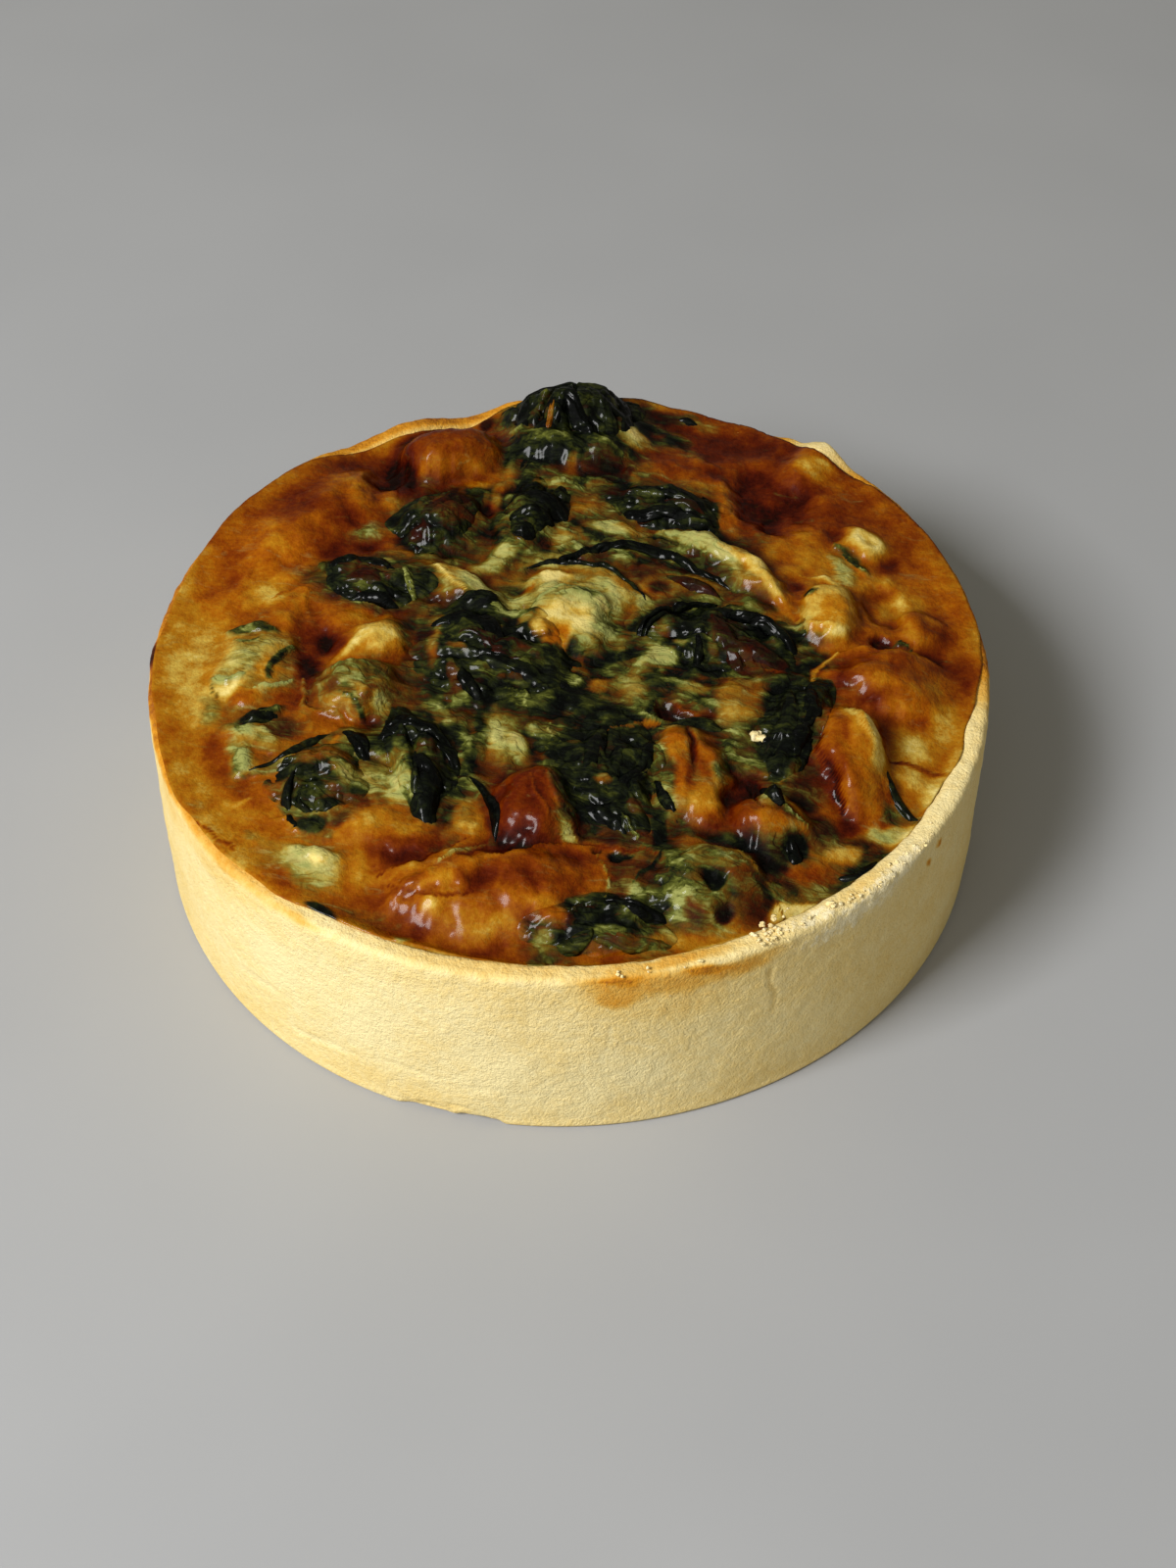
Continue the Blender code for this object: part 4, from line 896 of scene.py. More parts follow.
# Leaves: clump or none, look, half width, lift, places along the leaf.
LEAVES = (
    ("tuft", "leaf", 1.6, 1.0, (-8.6, 36.1), (-8.4, 40.5), (-7, 45.5), (-5, 51.1)),
    ("tuft", "black", 1.5, 0.9, (-8.2, 36.5), (-6.4, 40.5), (-2.8, 43.9), (-0.4, 48.9)),
    ("tuft", "ochre", 0.7, 1.3, (-3.6, 40.9), (-3.1, 43.4), (-2.6, 45.6)),
    ("tuft", "black", 1.4, 1.0, (4.4, 37.4), (2.6, 41.5), (-0.4, 45.5), (-1.8, 50.5)),
    ("tuft", "umber", 1.2, 1.0, (-2.6, 36.1), (-2.6, 38.5), (-2, 41.9)),
    ("tuft", "leaf", 1.1, 0.9, (2.4, 36.9), (5.2, 41.5), (4.4, 46.5), (6, 50.3)),
    ("tuft", "black", 1.5, 1.0, (6.6, 41.9), (7.4, 44.9), (7.6, 48.1), (6.6, 50.7)),
    ("tuft", "black", 1.4, 0.8, (-9.4, 44.5), (-5.5, 49.9), (0.4, 51.5), (6, 50.1), (9.4, 46.9)),
    ("tuft", "black", 1.3, 0.8, (3.4, 45.5), (8, 45.7), (12.8, 43.7), (17.6, 40.3)),
    ("tuft", "leaf", 0.9, 0.8, (6, 47.9), (10, 47.9), (14, 46.1), (16.6, 44.1)),
    ("tuft", "black", 1.0, 0.7, (-4.6, 35.7), (-2.4, 34.1), (0, 32.5), (2.2, 31.1)),
    ("tuft", "black", 1.7, 1.1, (-7.6, 33.6), (-6.9, 36.2), (-5.6, 38.6), (-4.8, 41.0)),
    ("tuft", "leaf", 1.5, 1.0, (-2.0, 33.8), (-2.9, 36.0), (-3.1, 38.4), (-2.7, 40.6)),
    ("upper", "black", 1.6, 0.8, (-8, 29.2), (-5, 28.4), (-2.6, 26.2), (-1, 23.8)),
    ("upper", "leaf", 1.3, 0.9, (-10, 22.6), (-7.6, 24.2), (-4.4, 23.8), (-1.8, 22.2)),
    ("upper", "sage", 1.0, 0.9, (-11.6, 15.8), (-9.8, 17.4), (-7.8, 17.6)),
    ("upper", "leaf", 1.2, 0.7, (-8.6, 20.8), (-6.4, 21), (-4.6, 19.8)),
    ("upper_left", "umber", 1.6, 0.8, (-21.4, 20.4), (-19.4, 24.4), (-15.8, 26.8), (-11.4, 26.6)),
    ("upper_left", "bark", 1.7, 0.7, (-19.4, 21.8), (-16.4, 24.4), (-12.6, 24.2)),
    ("upper_left", "black", 1.5, 0.8, (-20.4, 17.8), (-16.4, 17.8), (-11.8, 20.2)),
    ("band", "black", 1.2, 0.9, (1.4, 25.8), (6, 26.2), (11, 26), (15.6, 25), (19.6, 23.8)),
    ("band", "leaf", 1.6, 0.9, (8.6, 30.2), (12.6, 30), (17, 27.8), (20.4, 25.2)),
    ("band", "umber", 1.2, 0.8, (12.6, 27.8), (16, 26.8), (19, 25)),
    ("leaf_right", "black", 0.7, 1.2, (19.6, 8.3), (15.6, 7.9), (11.8, 6.1), (9.2, 3.1), (8.6, -0.3)),
    ("leaf_right", "leaf", 0.6, 0.9, (14.4, 5.7), (12, 4.3), (10, 2.1), (9.6, -0.1)),
    ("leaf_right", "black", 1.2, 1.2, (19, 6.5), (22, 4.1), (26, 3.1), (29.2, 0.1), (31.6, -2.5)),
    ("leaf_right", "umber", 1.5, 0.8, (18.6, 4.8), (20, 1.4), (21.2, -2), (22, -5)),
    ("leaf_right", "black", 0.8, 0.9, (16.4, 1.9), (16.8, -1.1), (16.6, -4.1)),
    ("leaf_right", "umber", 1.5, 0.8, (22.6, -0.1), (25.4, -2.1), (28.4, -4.1)),
    ("right", "black", 1.6, 0.9, (31, -6.8), (31.2, -11), (30.2, -16), (27.6, -21.4)),
    ("right", "leaf", 1.5, 0.8, (27.6, -8.4), (28, -12.6), (26.6, -17.2), (24.6, -21)),
    ("right", "black", 1.1, 0.8, (30, -16.2), (29.8, -19.6), (28.2, -23.2)),
    ("centre", "black", 1.7, 0.9, (-18.6, 4), (-14.4, 4.2), (-11, 2.4), (-8.6, -1.2)),
    ("centre", "umber", 1.4, 0.8, (-17, 0.6), (-13.4, 0.2), (-9.6, -2), (-5.6, -4.2)),
    ("centre", "leaf", 1.4, 0.9, (-11.8, -3.4), (-8, -4.8), (-4.4, -6.4), (-2.4, -9.4)),
    ("centre", "black", 1.2, 0.8, (-13.8, -5), (-12.8, -8), (-11, -11.4)),
    ("centre", "sage", 0.9, 0.8, (-17.6, -11), (-14.8, -12.4), (-11.8, -13)),
    ("centre", "leaf", 1.3, 0.8, (-9.8, -12.6), (-6.6, -12.8), (-3.6, -14.6)),
    ("centre", "black", 1.2, 0.9, (-1.8, -7.2), (0.8, -8.6), (2.4, -11.4), (4.6, -13.2)),
    ("front_centre", "black", 1.5, 0.9, (10.8, -16.8), (10, -20.4), (8.2, -23.8), (6.2, -26.4)),
    ("front_centre", "leaf", 1.6, 0.8, (5, -14.6), (3.2, -18), (2.6, -22), (1.2, -26)),
    ("front_centre", "black", 1.0, 1.0, (10.6, -25), (12.2, -28), (14.2, -31.6), (16.4, -35.2)),
    ("front_centre", "black", 1.5, 0.8, (1.8, -28.6), (4.4, -30), (6.8, -32.4), (8.8, -35.4)),
    ("front_centre", "leaf", 1.1, 0.8, (6.8, -19.4), (5.8, -22.6), (4.4, -25.2)),
    ("curl", "black", 1.6, 1.3, (-24.6, -19.8), (-24, -17.2), (-21.4, -15.8), (-18, -16.4), (-14.4, -19)),
    ("curl", "black", 2.0, 1.1, (-18, -20), (-17.6, -24), (-17, -28.4), (-16, -32.6), (-15.4, -35.4)),
    ("curl", "leaf", 0.8, 1.0, (-18.6, -22.4), (-18.4, -26.4), (-17.4, -30.8)),
    ("curl", "black", 1.2, 0.7, (-16.4, -19), (-14, -21), (-13.2, -23.4)),
    ("left", "black", 1.0, 1.1, (-33.6, -23.8), (-34.6, -26.4), (-34.2, -29.4), (-32, -31.6), (-29, -31.8)),
    ("left", "leaf", 0.8, 0.8, (-33, -25.4), (-33, -28), (-30.8, -29.4), (-28.2, -28.2)),
    ("left_upper", "black", 1.4, 0.9, (-33.4, 13.6), (-30.6, 15.4), (-27, 15.8), (-23.6, 13.6)),
    ("left_upper", "umber", 1.6, 0.8, (-31.6, 11), (-27.4, 12.2), (-23.6, 10.6)),
    ("left_upper", "sage", 0.8, 0.9, (-22.6, 15), (-21.4, 11.8), (-20.2, 8)),
    ("left_upper", "black", 1.1, 0.7, (-29.6, 9), (-26, 8.8), (-22.6, 7.4)),
    ("front", "black", 1.0, 0.9, (4.2, -43.4), (8.4, -44.2), (13, -45.6)),
    ("front", "moss", 1.5, 0.9, (-3.2, -51), (-0.6, -48.6), (3.2, -47.2)),
    ("front", "olive", 1.1, 0.8, (3.4, -48), (6.8, -48.4), (10.2, -48.2), (13.8, -48.2)),
    (None, "black", 0.9, 0.8, (-3, 16.8), (3, 19), (8, 20), (13, 18.4), (18, 14.4), (21.6, 11.2)),
    (None, "leaf", 0.7, 0.8, (-6, 15.2), (-2, 16), (3, 15), (7.4, 12.6), (10.4, 8.8)),
    (None, "leaf", 0.9, 0.7, (-37, -21.2), (-34.6, -19.6), (-32.4, -17.6), (-30, -16.2)),
    (None, "moss", 0.6, 0.3, (36.4, 20), (38.4, 17.8), (40, 15.4)),
    (None, "black", 0.5, 0.5, (-40.2, -21.8), (-37.6, -21.2), (-34.8, -20)),
    (None, "black", 1.2, 0.8, (-28.4, -15.8), (-26.6, -17.4), (-25, -21.2)),
    (None, "black", 0.7, 0.8, (-12.4, -23.6), (-10.4, -26.4), (-9, -29.8), (-8.8, -34.2)),
    (None, "leaf", 0.9, 0.6, (39.8, -21.2), (40.6, -24.2), (42.4, -27), (43.4, -28.2)),
    (None, "black", 0.9, 0.7, (32.8, -37), (35.4, -36.6), (37.8, -34.2)),
    (None, "black", 1.0, 0.6, (27, -32.6), (27.8, -34.4), (27.6, -36.2)),
    (None, "leaf", 1.1, 0.6, (-42, -14.2), (-39.6, -13.3), (-36.8, -13.2)),
    (None, "black", 0.8, 0.5, (15, 49.6), (16.8, 49.2), (18.2, 48.4)),
    (None, "leaf", 1.6, 0.7, (-9, 7.6), (-13, 7.2), (-17, 5.6)),
    (None, "umber", 1.2, 0.7, (12.6, 13.8), (16.6, 12), (20, 9.8)),
    (None, "leaf", 1.2, 0.7, (12.6, -14.2), (16, -13.8), (19.6, -15)),
    (None, "black", 1.0, 0.7, (23.6, -24.8), (25.4, -27.4), (26.6, -29.4)),
)
LEAF_BED = "olive"
LEAF_BED_WIDTH = 2.2
LEAF_ACROSS = 15
LEAF_STEP = 0.3
LEAF_THICKNESS = 0.35
LEAF_ENDS = 0.55  # the lower, the blunter
LEAF_RAGGED = 0.28
LEAF_SWAY = 0.35
LEAF_DRAPE = 0.55  # how closely a leaf's width follows the ground
LEAF_SINK = 0.25
PLEAT_HEIGHT = 0.55
LEAF_TIP = 0.03  # how far its ends are from a point
LEAF_ARCH = 2.4  # the higher, the flatter its back
LEAF_HOLLOW = 0.3  # share of its arch that its underside lies lower
LEAF_MOTTLE = 0.10
PLEAT_SCALE = 1.5
PLEAT_STRETCH = 3.0
PLEAT_SHADE = 0.16
LEAF_SEED = 200
LEAF_SEED_STEP = 17


def clump_lobe(name, bearing):
    cx, cy = CLUMPS[name][:2]
    return 1.0 + sum(share * np.cos(count * bearing + cx + cy) for count, share in CLUMP_LOBES)


def clump_place(name, x, y):
    """0 at the middle of a clump, 1 on its outline, at places in mm."""
    cx, cy, length, width, turn = CLUMPS[name][:5]
    cos, sin = cos_sin(turn)
    u = ((x - cx) * cos + (y - cy) * sin) / length
    v = ((y - cy) * cos - (x - cx) * sin) / width
    return np.hypot(u, v) / clump_lobe(name, np.arctan2(v, u))


def clump_ground(name, x, y):
    """Height of a clump without its creases, nearness to its middle, and what relief gives."""
    level, paint, marks = relief(x, y)
    if name is None:
        return level, None, paint, marks
    near = clump_place(name, x, y) + CLUMP_RAGGED * clouds((x, y), 3.0, 2, 91)
    rise = CLUMPS[name][5] * CLUMP_RISE
    level = level + rise * smooth(1.5 * (1.0 - near)) - CLUMP_SINK * between(0.92, 1.12, near)
    return level, near, paint, marks


def clump_folds(name, x, y):
    """0 in the creases between the folds of a clump's leaves, up to 1 on them."""
    cos, sin = cos_sin(CLUMPS[name][6])
    bend = CLUMP_FOLD_BEND * clouds((x, y), 7.0, 2, 95)
    u, v = x * cos + y * sin, y * cos - x * sin + bend
    broad = creases((u / CLUMP_FOLD_STRETCH, v), CLUMP_FOLD_SCALE, 2, 101)
    return 0.7 * broad + 0.3 * creases((x, y), 2.4, 2, 105)


def make_leaf(name, look, half, lift, places, seed):
    """One folded leaf draped along its places: points, faces and paint."""
    line = run_places(places, LEAF_STEP)
    rows = len(line)
    ahead = run_ahead(line)
    share = np.linspace(0.0, 1.0, rows)
    spread = np.sin(math.pi * np.clip(LEAF_TIP + (1.0 - 2.0 * LEAF_TIP) * share, 0, 1))[:, None] ** LEAF_ENDS
    s, v = np.meshgrid(share * rows * LEAF_STEP, np.linspace(-1.0, 1.0, LEAF_ACROSS), indexing="ij")
    ragged = 1.0 + LEAF_RAGGED * grain((s + 5.0 * v, v * 0.6), 2.3, seed)
    sway = LEAF_SWAY * half * grain((s, v * 0.2), 4.0, seed + 3)
    offset = v * half * spread * ragged + sway
    x = line[:, 0:1] - ahead[:, 1:2] * offset
    y = line[:, 1:2] + ahead[:, 0:1] * offset
    ground = clump_ground(name, x.ravel(), y.ravel())[0].reshape(x.shape)
    middle = LEAF_ACROSS // 2
    ground = LEAF_DRAPE * ground + (1.0 - LEAF_DRAPE) * ground[:, middle:middle + 1]
    arch = (1.0 - np.abs(v) ** LEAF_ARCH) * spread
    bend = 0.25 * s * grain((s, v * 0.0), 6.0, seed + 6)
    pleat = creases((s / PLEAT_STRETCH, v * half * 1.5 + bend), PLEAT_SCALE, 2, seed + 9)
    z = ground + lift * arch + PLEAT_HEIGHT * lift * (pleat - 0.5) * spread - LEAF_SINK
    top = np.stack([x, y, z], 2)
    bottom = top.copy()
    bottom[:, :, 2] -= LEAF_THICKNESS + LEAF_HOLLOW * lift * arch
    points, faces = shell(top, bottom)
    paint = np.tile(PALETTE[look], (len(points), 1))
    mottle = grain((x.ravel(), y.ravel()), 1.6, seed + 12)
    # painted shade: darker paint in the pleats' creases
    shade = PLEAT_SHADE * (0.5 - pleat.ravel()) + LEAF_MOTTLE * mottle
    above = slice(0, rows * LEAF_ACROSS)
    paint[above, 2] = np.clip(paint[above, 2] + shade, 0.0, 1.0)
    return points, faces, paint


def add_leaves(name, points, faces, paints, count):
    """Adds the leaves of a clump, or those of none, to lists of points, faces and paints."""
    for number, (clump, look, half, lift, *places) in enumerate(LEAVES):
        if clump != name:
            continue
        seed = LEAF_SEED + LEAF_SEED_STEP * number
        leaf_points, leaf_faces, leaf_paint = make_leaf(name, look, half, lift, places, seed)
        points.append(leaf_points)
        paints.append(leaf_paint)
        faces += [tuple(int(p) + count for p in face) for face in leaf_faces]
        count += len(leaf_points)


def make_loose_leaves(material):
    points, faces, paints = [], [], []
    add_leaves(None, points, faces, paints, 0)
    piece = new_piece("leaves_loose", np.concatenate(points), faces, material)
    give_paint(piece, np.concatenate(paints))


def clump_paint(x, y, near, folds, below, marks):
    """Dark leaves, with painted shade in the creases and painted light on the folds, that fade into the
    custard's paint at the outline.
    """
    tone = clouds((x, y), 3.2, 2, 111)
    paint = np.zeros((len(x), 3))
    paint[:, 0] = CLUMP_BAKE
    paint[:, 1] = 1.0 - CLUMP_MOTTLE[0] * between(0.1, 0.5, tone)
    # painted shade and light: darker in the creases, lighter on the folds
    dark = CLUMP_DARK - CLUMP_FOLD_SHADE * (folds - 0.35)
    paint[:, 2] = np.clip(dark - CLUMP_MOTTLE[1] * between(0.0, 0.5, tone), 0.0, 1.0)
    fade = between(0.88, 1.06, near + 0.12 * grain((x, y), 1.5, 115))
    return mixed(paint, below, np.maximum(0.85 * fade, 0.9 * marks)[:, None])


def make_clump(name, material):
    """A clump's crumpled leaves and the separate leaves that lie on it."""
    cx, cy, length, width, turn = CLUMPS[name][:5]
    size, fold_height = (TUFT_GRID, TUFT_FOLDS) if name == "tuft" else (CLUMP_GRID, CLUMP_FOLDS)
    ux, uy = disc(size)
    lobe = clump_lobe(name, np.arctan2(uy, ux))
    u, v = ux * length * lobe * CLUMP_GROWTH, uy * width * lobe * CLUMP_GROWTH
    cos, sin = cos_sin(turn)
    x, y = cx + u * cos - v * sin, cy + u * sin + v * cos
    ground, near, below, marks = clump_ground(name, x, y)
    folds = clump_folds(name, x, y)
    inside = 1.0 - between(0.75, 1.1, near)
    inside = CLUMP_EDGE_FOLDS + (1.0 - CLUMP_EDGE_FOLDS) * inside
    z = ground + fold_height * (folds - 0.55) * inside
    border = disc_border(size)
    low = z[border] - CLUMP_DEPTH
    foot_x, foot_y = cx + (x[border] - cx) * CLUMP_FOOT, cy + (y[border] - cy) * CLUMP_FOOT
    points = [np.stack([x, y, z], 1), np.stack([foot_x, foot_y, low], 1)]
    points.append(np.array([[cx, cy, low.min()]]))
    lower = list(range(size ** 2, size ** 2 + len(border)))
    middle = size ** 2 + len(border)
    sides = zip(ring_faces(border, lower), cap_faces(lower, middle))
    faces = grid_faces(size, size) + [face for pair in sides for face in pair]
    paints = [clump_paint(x, y, near, folds, below, marks)]
    paints.append(np.tile(PALETTE["black"], (len(border) + 1, 1)))
    add_leaves(name, points, faces, paints, middle + 1)
    nodes = ["spinach_" + name]
    piece = new_piece("leaves_" + name, np.concatenate(points), faces, material, nodes)
    give_paint(piece, np.concatenate(paints))


# ---------------------------------------------------------------- the pastry
CASE_STEPS = 760
OUTSIDE = 52.0  # radius past which the pastry is wall or rim
FINE_BUMPS, BROAD_BUMPS = 0.09, 0.16
ROUGH_RIM = 0.16
ROUGH_FLOUR = 0.45
MARK_WANDER = 0.7  # how unevenly the outlines of marks run
# Looks of the pastry: how toasted, how floury.
CASE_PALETTE = {
    "plain": (0.14, 0.0),
    "pale": (0.02, 0.10),
    "flour": (0.14, 0.70),
    "crumb": (0.10, 0.45),
    "tan": (0.24, 0.0),
    "stain": (0.44, 0.0),
    "burn": (0.62, 0.0),
    "char": (0.95, 0.0),
}
# Bearing, and how toasted the top of the rim is there.
RIM_TOAST = (
    (0, 0.62), (20, 0.66), (40, 0.55), (49, 0.10), (58, 0.55), (80, 0.62), (100, 0.56), (108, 0.60),
    (124, 0.62), (132, 0.54), (160, 0.62), (180, 0.66), (205, 0.60), (218, 0.50), (228, 0.36),
    (240, 0.10), (330, 0.06), (348, 0.12), (354, 0.40), (360, 0.62),
)
# Pastry marks: look, bearing, height on the wall or on over the rim, half width, half height,
# turn, height added, softness.
CASE_PATCHES = (
    ("tan", 283.0, 24.6, 12.0, 4.0, -6, 0.0, 1.0),
    ("stain", 275.5, 28.2, 4.6, 3.0, -8, 0.0, 0.8),
    ("stain", 282.0, 27.0, 6.5, 2.4, -6, 0.0, 0.8),
    ("stain", 276.5, 25.0, 2.6, 1.6, 10, 0.0, 0.6),
    ("stain", 291.0, 26.2, 7.0, 1.4, 4, 0.0, 0.8),
    ("stain", 284.0, 30.4, 9.0, 1.0, 0, 0.0, 0.8),
    ("burn", 276.0, 28.4, 2.8, 0.9, -8, 0.0, 0.9),
    ("burn", 288.0, 27.4, 3.2, 0.8, -12, 0.0, 0.9),
    ("tan", 262.0, 30.4, 16.0, 1.6, 0, 0.0, 1.0),
    ("tan", 310.0, 30.2, 10.0, 1.2, 0, 0.0, 1.0),
    ("flour", 309.0, 26.6, 9.0, 2.4, 4, 0.10, 0.9),
    ("flour", 318.0, 28.8, 8.0, 1.8, 0, 0.12, 0.9),
    ("flour", 303.0, 30.0, 5.0, 1.2, 0, 0.12, 0.9),
    ("pale", 240.0, 16.0, 26.0, 9.0, 0, 0.0, 1.0),
    ("pale", 268.0, 8.0, 18.0, 6.0, 0, 0.0, 1.0),
    ("burn", 326.8, 26.1, 0.8, 0.6, 0, 0.15, 0.5),
    ("burn", 324.7, 24.4, 0.6, 0.5, 0, 0.0, 0.6),
    ("char", 180.0, 28.6, 2.2, 1.2, 0, 0.15, 0.6),
    ("stain", 221.6, 28.2, 3.0, 0.8, 0, 0.0, 0.8),
    ("stain", 234.4, 28.8, 3.4, 0.8, 0, 0.0, 0.8),
    ("tan", 212.0, 26.0, 14.0, 2.0, 0, 0.0, 1.0),
    ("plain", 252.0, 0.6, 3.4, 1.2, 0, -0.5, 0.5),
    ("plain", 258.5, 0.4, 3.0, 1.0, 0, -0.6, 0.4),
    ("plain", 256.0, 2.2, 1.6, 0.6, 0, -0.3, 0.5),
    ("pale", 226.6, 10.3, 5.0, 0.7, 12, -0.12, 0.8),
    ("pale", 236.6, 6.1, 6.0, 0.6, 8, -0.12, 0.8),
    ("pale", 250.0, 8.0, 4.0, 0.6, -10, -0.12, 0.8),
    ("pale", 257.8, 6.9, 3.0, 0.5, 10, -0.10, 0.8),
)
# Cracks: look, half widths, height, then bearing and height on the wall along them.
CASE_CRACKS = (
    ("tan", 0.5, 0.5, -0.30, (297.0, 25.6), (296.6, 22.0), (297.4, 18.6), (297.0, 15.3)),
    ("pale", 0.35, 0.35, -0.16, (275.2, 23.2), (275.9, 18.3), (275.1, 12.6), (276.5, 4.3)),
    ("pale", 0.35, 0.35, -0.14, (275.4, 17.6), (279.0, 15.9), (281.3, 14.5)),
    ("tan", 0.4, 0.4, -0.12, (303.0, 24.0), (306.0, 22.4), (310.5, 22.6)),
)


def quarter(steps):
    return np.linspace(0.0, math.pi / 2, steps)


def case_profile():
    """Outside of the pastry from the inner floor over the rim to the foot: radius and height rows."""
    rows = [(0.0, FLOOR_THICKNESS), (inner_radius(FLOOR_THICKNESS), FLOOR_THICKNESS)]
    rows += [(inner_radius(h), h) for h in (10.0, 18.0, 23.0, 25.0, 26.0, 27.0)]
    inside, outside = inner_radius(CASE_HEIGHT) + RIM_ROUND, RIM_RADIUS - RIM_ROUND
    low, foot = CASE_HEIGHT - RIM_ROUND, FOOT_RADIUS - FOOT_ROUND
    rows += [(inside - RIM_ROUND * math.cos(a), low + RIM_ROUND * math.sin(a)) for a in quarter(4)]
    rows += [(r, CASE_HEIGHT) for r in np.linspace(inside, outside, 5)[1:-1]]
    rows += [(outside + RIM_ROUND * math.sin(a), low + RIM_ROUND * math.cos(a)) for a in quarter(5)]
    rows += [(outer_radius(h), h) for h in np.linspace(low, FOOT_ROUND, 62)[1:]]
    down = quarter(4)[1:]
    rows += [(foot + FOOT_ROUND * math.cos(a), FOOT_ROUND - FOOT_ROUND * math.sin(a)) for a in down]
    rows += [(r, 0.0) for r in (50.0, 40.0, 20.0, 0.0)]
    return np.array(rows)


def case_surface(place, r, bearing):
    """Paint and marks of the pastry, on one map: bearing in degrees, then height, on over the rim."""
    z = place[2]
    across = np.degrees(bearing) + MARK_WANDER * clouds(place, 3.0, 3, 121)
    up = z + np.where(z > CASE_HEIGHT - RIM_ROUND, np.maximum(RIM_RADIUS - r, 0.0), 0.0)
    up = up + MARK_WANDER * clouds(place, 3.0, 3, 131)
    paint = np.tile(CASE_PALETTE["plain"], (len(z), 1))
    corner = between(26.9, 28.3, z + 0.6 * clouds(place, 2.0, 2, 141)) * between(51.0, 53.6, r)
    paint[:, 0] = mixed(paint[:, 0], around(RIM_TOAST, bearing), corner)
    surface = Surface(across, up, np.zeros(len(z)), paint, np.ones(len(z)), CASE_PALETTE)
    surface.lay_patches(CASE_PATCHES)
    surface.lay_edges(CASE_CRACKS)
    return surface


def case_bumps(place, r, flour):
    """Unevenness of the baked pastry: fine all over, rough on the rim and under flour."""
    z = place[2]
    bump = FINE_BUMPS * clouds(place, 1.2, 3, 71) + BROAD_BUMPS * clouds(place, 7.0, 2, 75) - 0.10
    bump = bump + (ROUGH_RIM * clouds(place, 1.8, 3, 81) - 0.05) * between(26.5, 28.2, z)
    bump = bump + ROUGH_FLOUR * flour * clouds(place, 1.1, 3, 85)
    outside = 40.0 * (r > OUTSIDE)
    return bump * (between(50.4, 51.6, r) * between(0.3, 1.5, z) * between(22.0, 26.0, z + outside))


def make_case(material):
    """The pastry: a ring of wall, rim and foot, and the floor under the custard."""
    profile = case_profile()
    tangent = np.gradient(profile, axis=0)
    normal = np.stack([-tangent[:, 1], tangent[:, 0]], 1)
    normal /= np.maximum(np.hypot(normal[:, 0], normal[:, 1]), 1e-9)[:, None]
    r, z, out, up = np.repeat(np.concatenate([profile, normal], 1), CASE_STEPS, axis=0).T
    bearing = np.tile(np.linspace(0.0, 2 * math.pi, CASE_STEPS, endpoint=False), len(profile))
    reach = r * (1.0 + wobble(bearing) / RIM_RADIUS)
    x, y = reach * np.cos(bearing), reach * np.sin(bearing)
    surface = case_surface((x, y, z), r, bearing)
    bump = case_bumps((x, y, z), r, surface.paint[:, 1]) + surface.level * (r > OUTSIDE)
    x = x + out * bump * np.cos(bearing)
    y = y + out * bump * np.sin(bearing)
    lift = around(RIM_LIFT, bearing) * smooth(z / CASE_HEIGHT)
    points = np.stack([x, y, np.maximum(z + lift + up * bump, 0.0)], 1)
    faces = grid_faces(len(profile), CASE_STEPS, closed=True)
    piece = new_piece("pastry", points, faces, material, ["pastry_case"])
    give_paint(piece, surface.paint)


# ---------------------------------------------------------------- crumbs
# Pastry crumbs: how many, bearing and its spread, way in from the rim's edge and its spread, sizes.
CRUMB_GROUPS = (
    (30, 304, 8, 1.4, 1.1, 0.08, 0.22),
    (26, 318, 9, 1.0, 0.9, 0.08, 0.20),
    (14, 297, 2.2, 2.0, 1.3, 0.12, 0.32),
    (9, 299, 2.5, 3.6, 0.8, 0.12, 0.30),
    (8, 282, 6, 1.0, 0.8, 0.10, 0.22),
)
# A few bigger ones: x, y, size.
LOOSE_CRUMBS = (
    (23.8, -16.4, 0.7), (24.5, -16.9, 0.5), (24.3, -15.7, 0.45), (31.5, -42.4, 0.4),
    (31.9, -42.9, 0.3),
)
CRUMB_ROWS = 7
CRUMB_SHAPE = (1.15, 0.9, 0.75)
CRUMB_SEED = 300


def make_crumb(x, y, z, size, seed):
    """One knobbly crumb: points and faces."""
    rows, columns = CRUMB_ROWS, 2 * CRUMB_ROWS
    tilts = np.linspace(0.06, math.pi - 0.06, rows)
    turns = np.arange(columns) * 2 * math.pi / columns
    down, turn = [values.ravel() for values in np.meshgrid(tilts, turns, indexing="ij")]
    way = np.stack([np.sin(down) * np.cos(turn), np.sin(down) * np.sin(turn), np.cos(down)], 1)
    reach = size * (1.0 + 0.8 * grain((way[:, 0], way[:, 1], way[:, 2]), 0.6, seed))
    points = way * reach[:, None] * CRUMB_SHAPE + (x, y, z)
    faces = grid_faces(rows, columns, closed=True)
    faces += [tuple(range(columns))[::-1], tuple(range((rows - 1) * columns, rows * columns))]
    return points, faces


def crumb_places():
    """x, y, z and size of each crumb."""
    random = np.random.default_rng(11)
    places = []
    for x, y, size in LOOSE_CRUMBS:
        places.append((x, y, relief(np.array([x]), np.array([y]))[0][0] + 0.3 * size, size))
    for number, bearing, spread, inward, depth, least, most in CRUMB_GROUPS:
        for _ in range(number):
            angle = math.radians(bearing + spread * random.uniform(-1.0, 1.0))
            reach = RIM_RADIUS - inward + depth * random.uniform(-1.0, 1.0)
            size = random.uniform(least, most)
            rim = CASE_HEIGHT + float(around(RIM_LIFT, np.array([angle]))[0])
            places.append((reach * math.cos(angle), reach * math.sin(angle), rim + 0.2 * size, size))
    return places


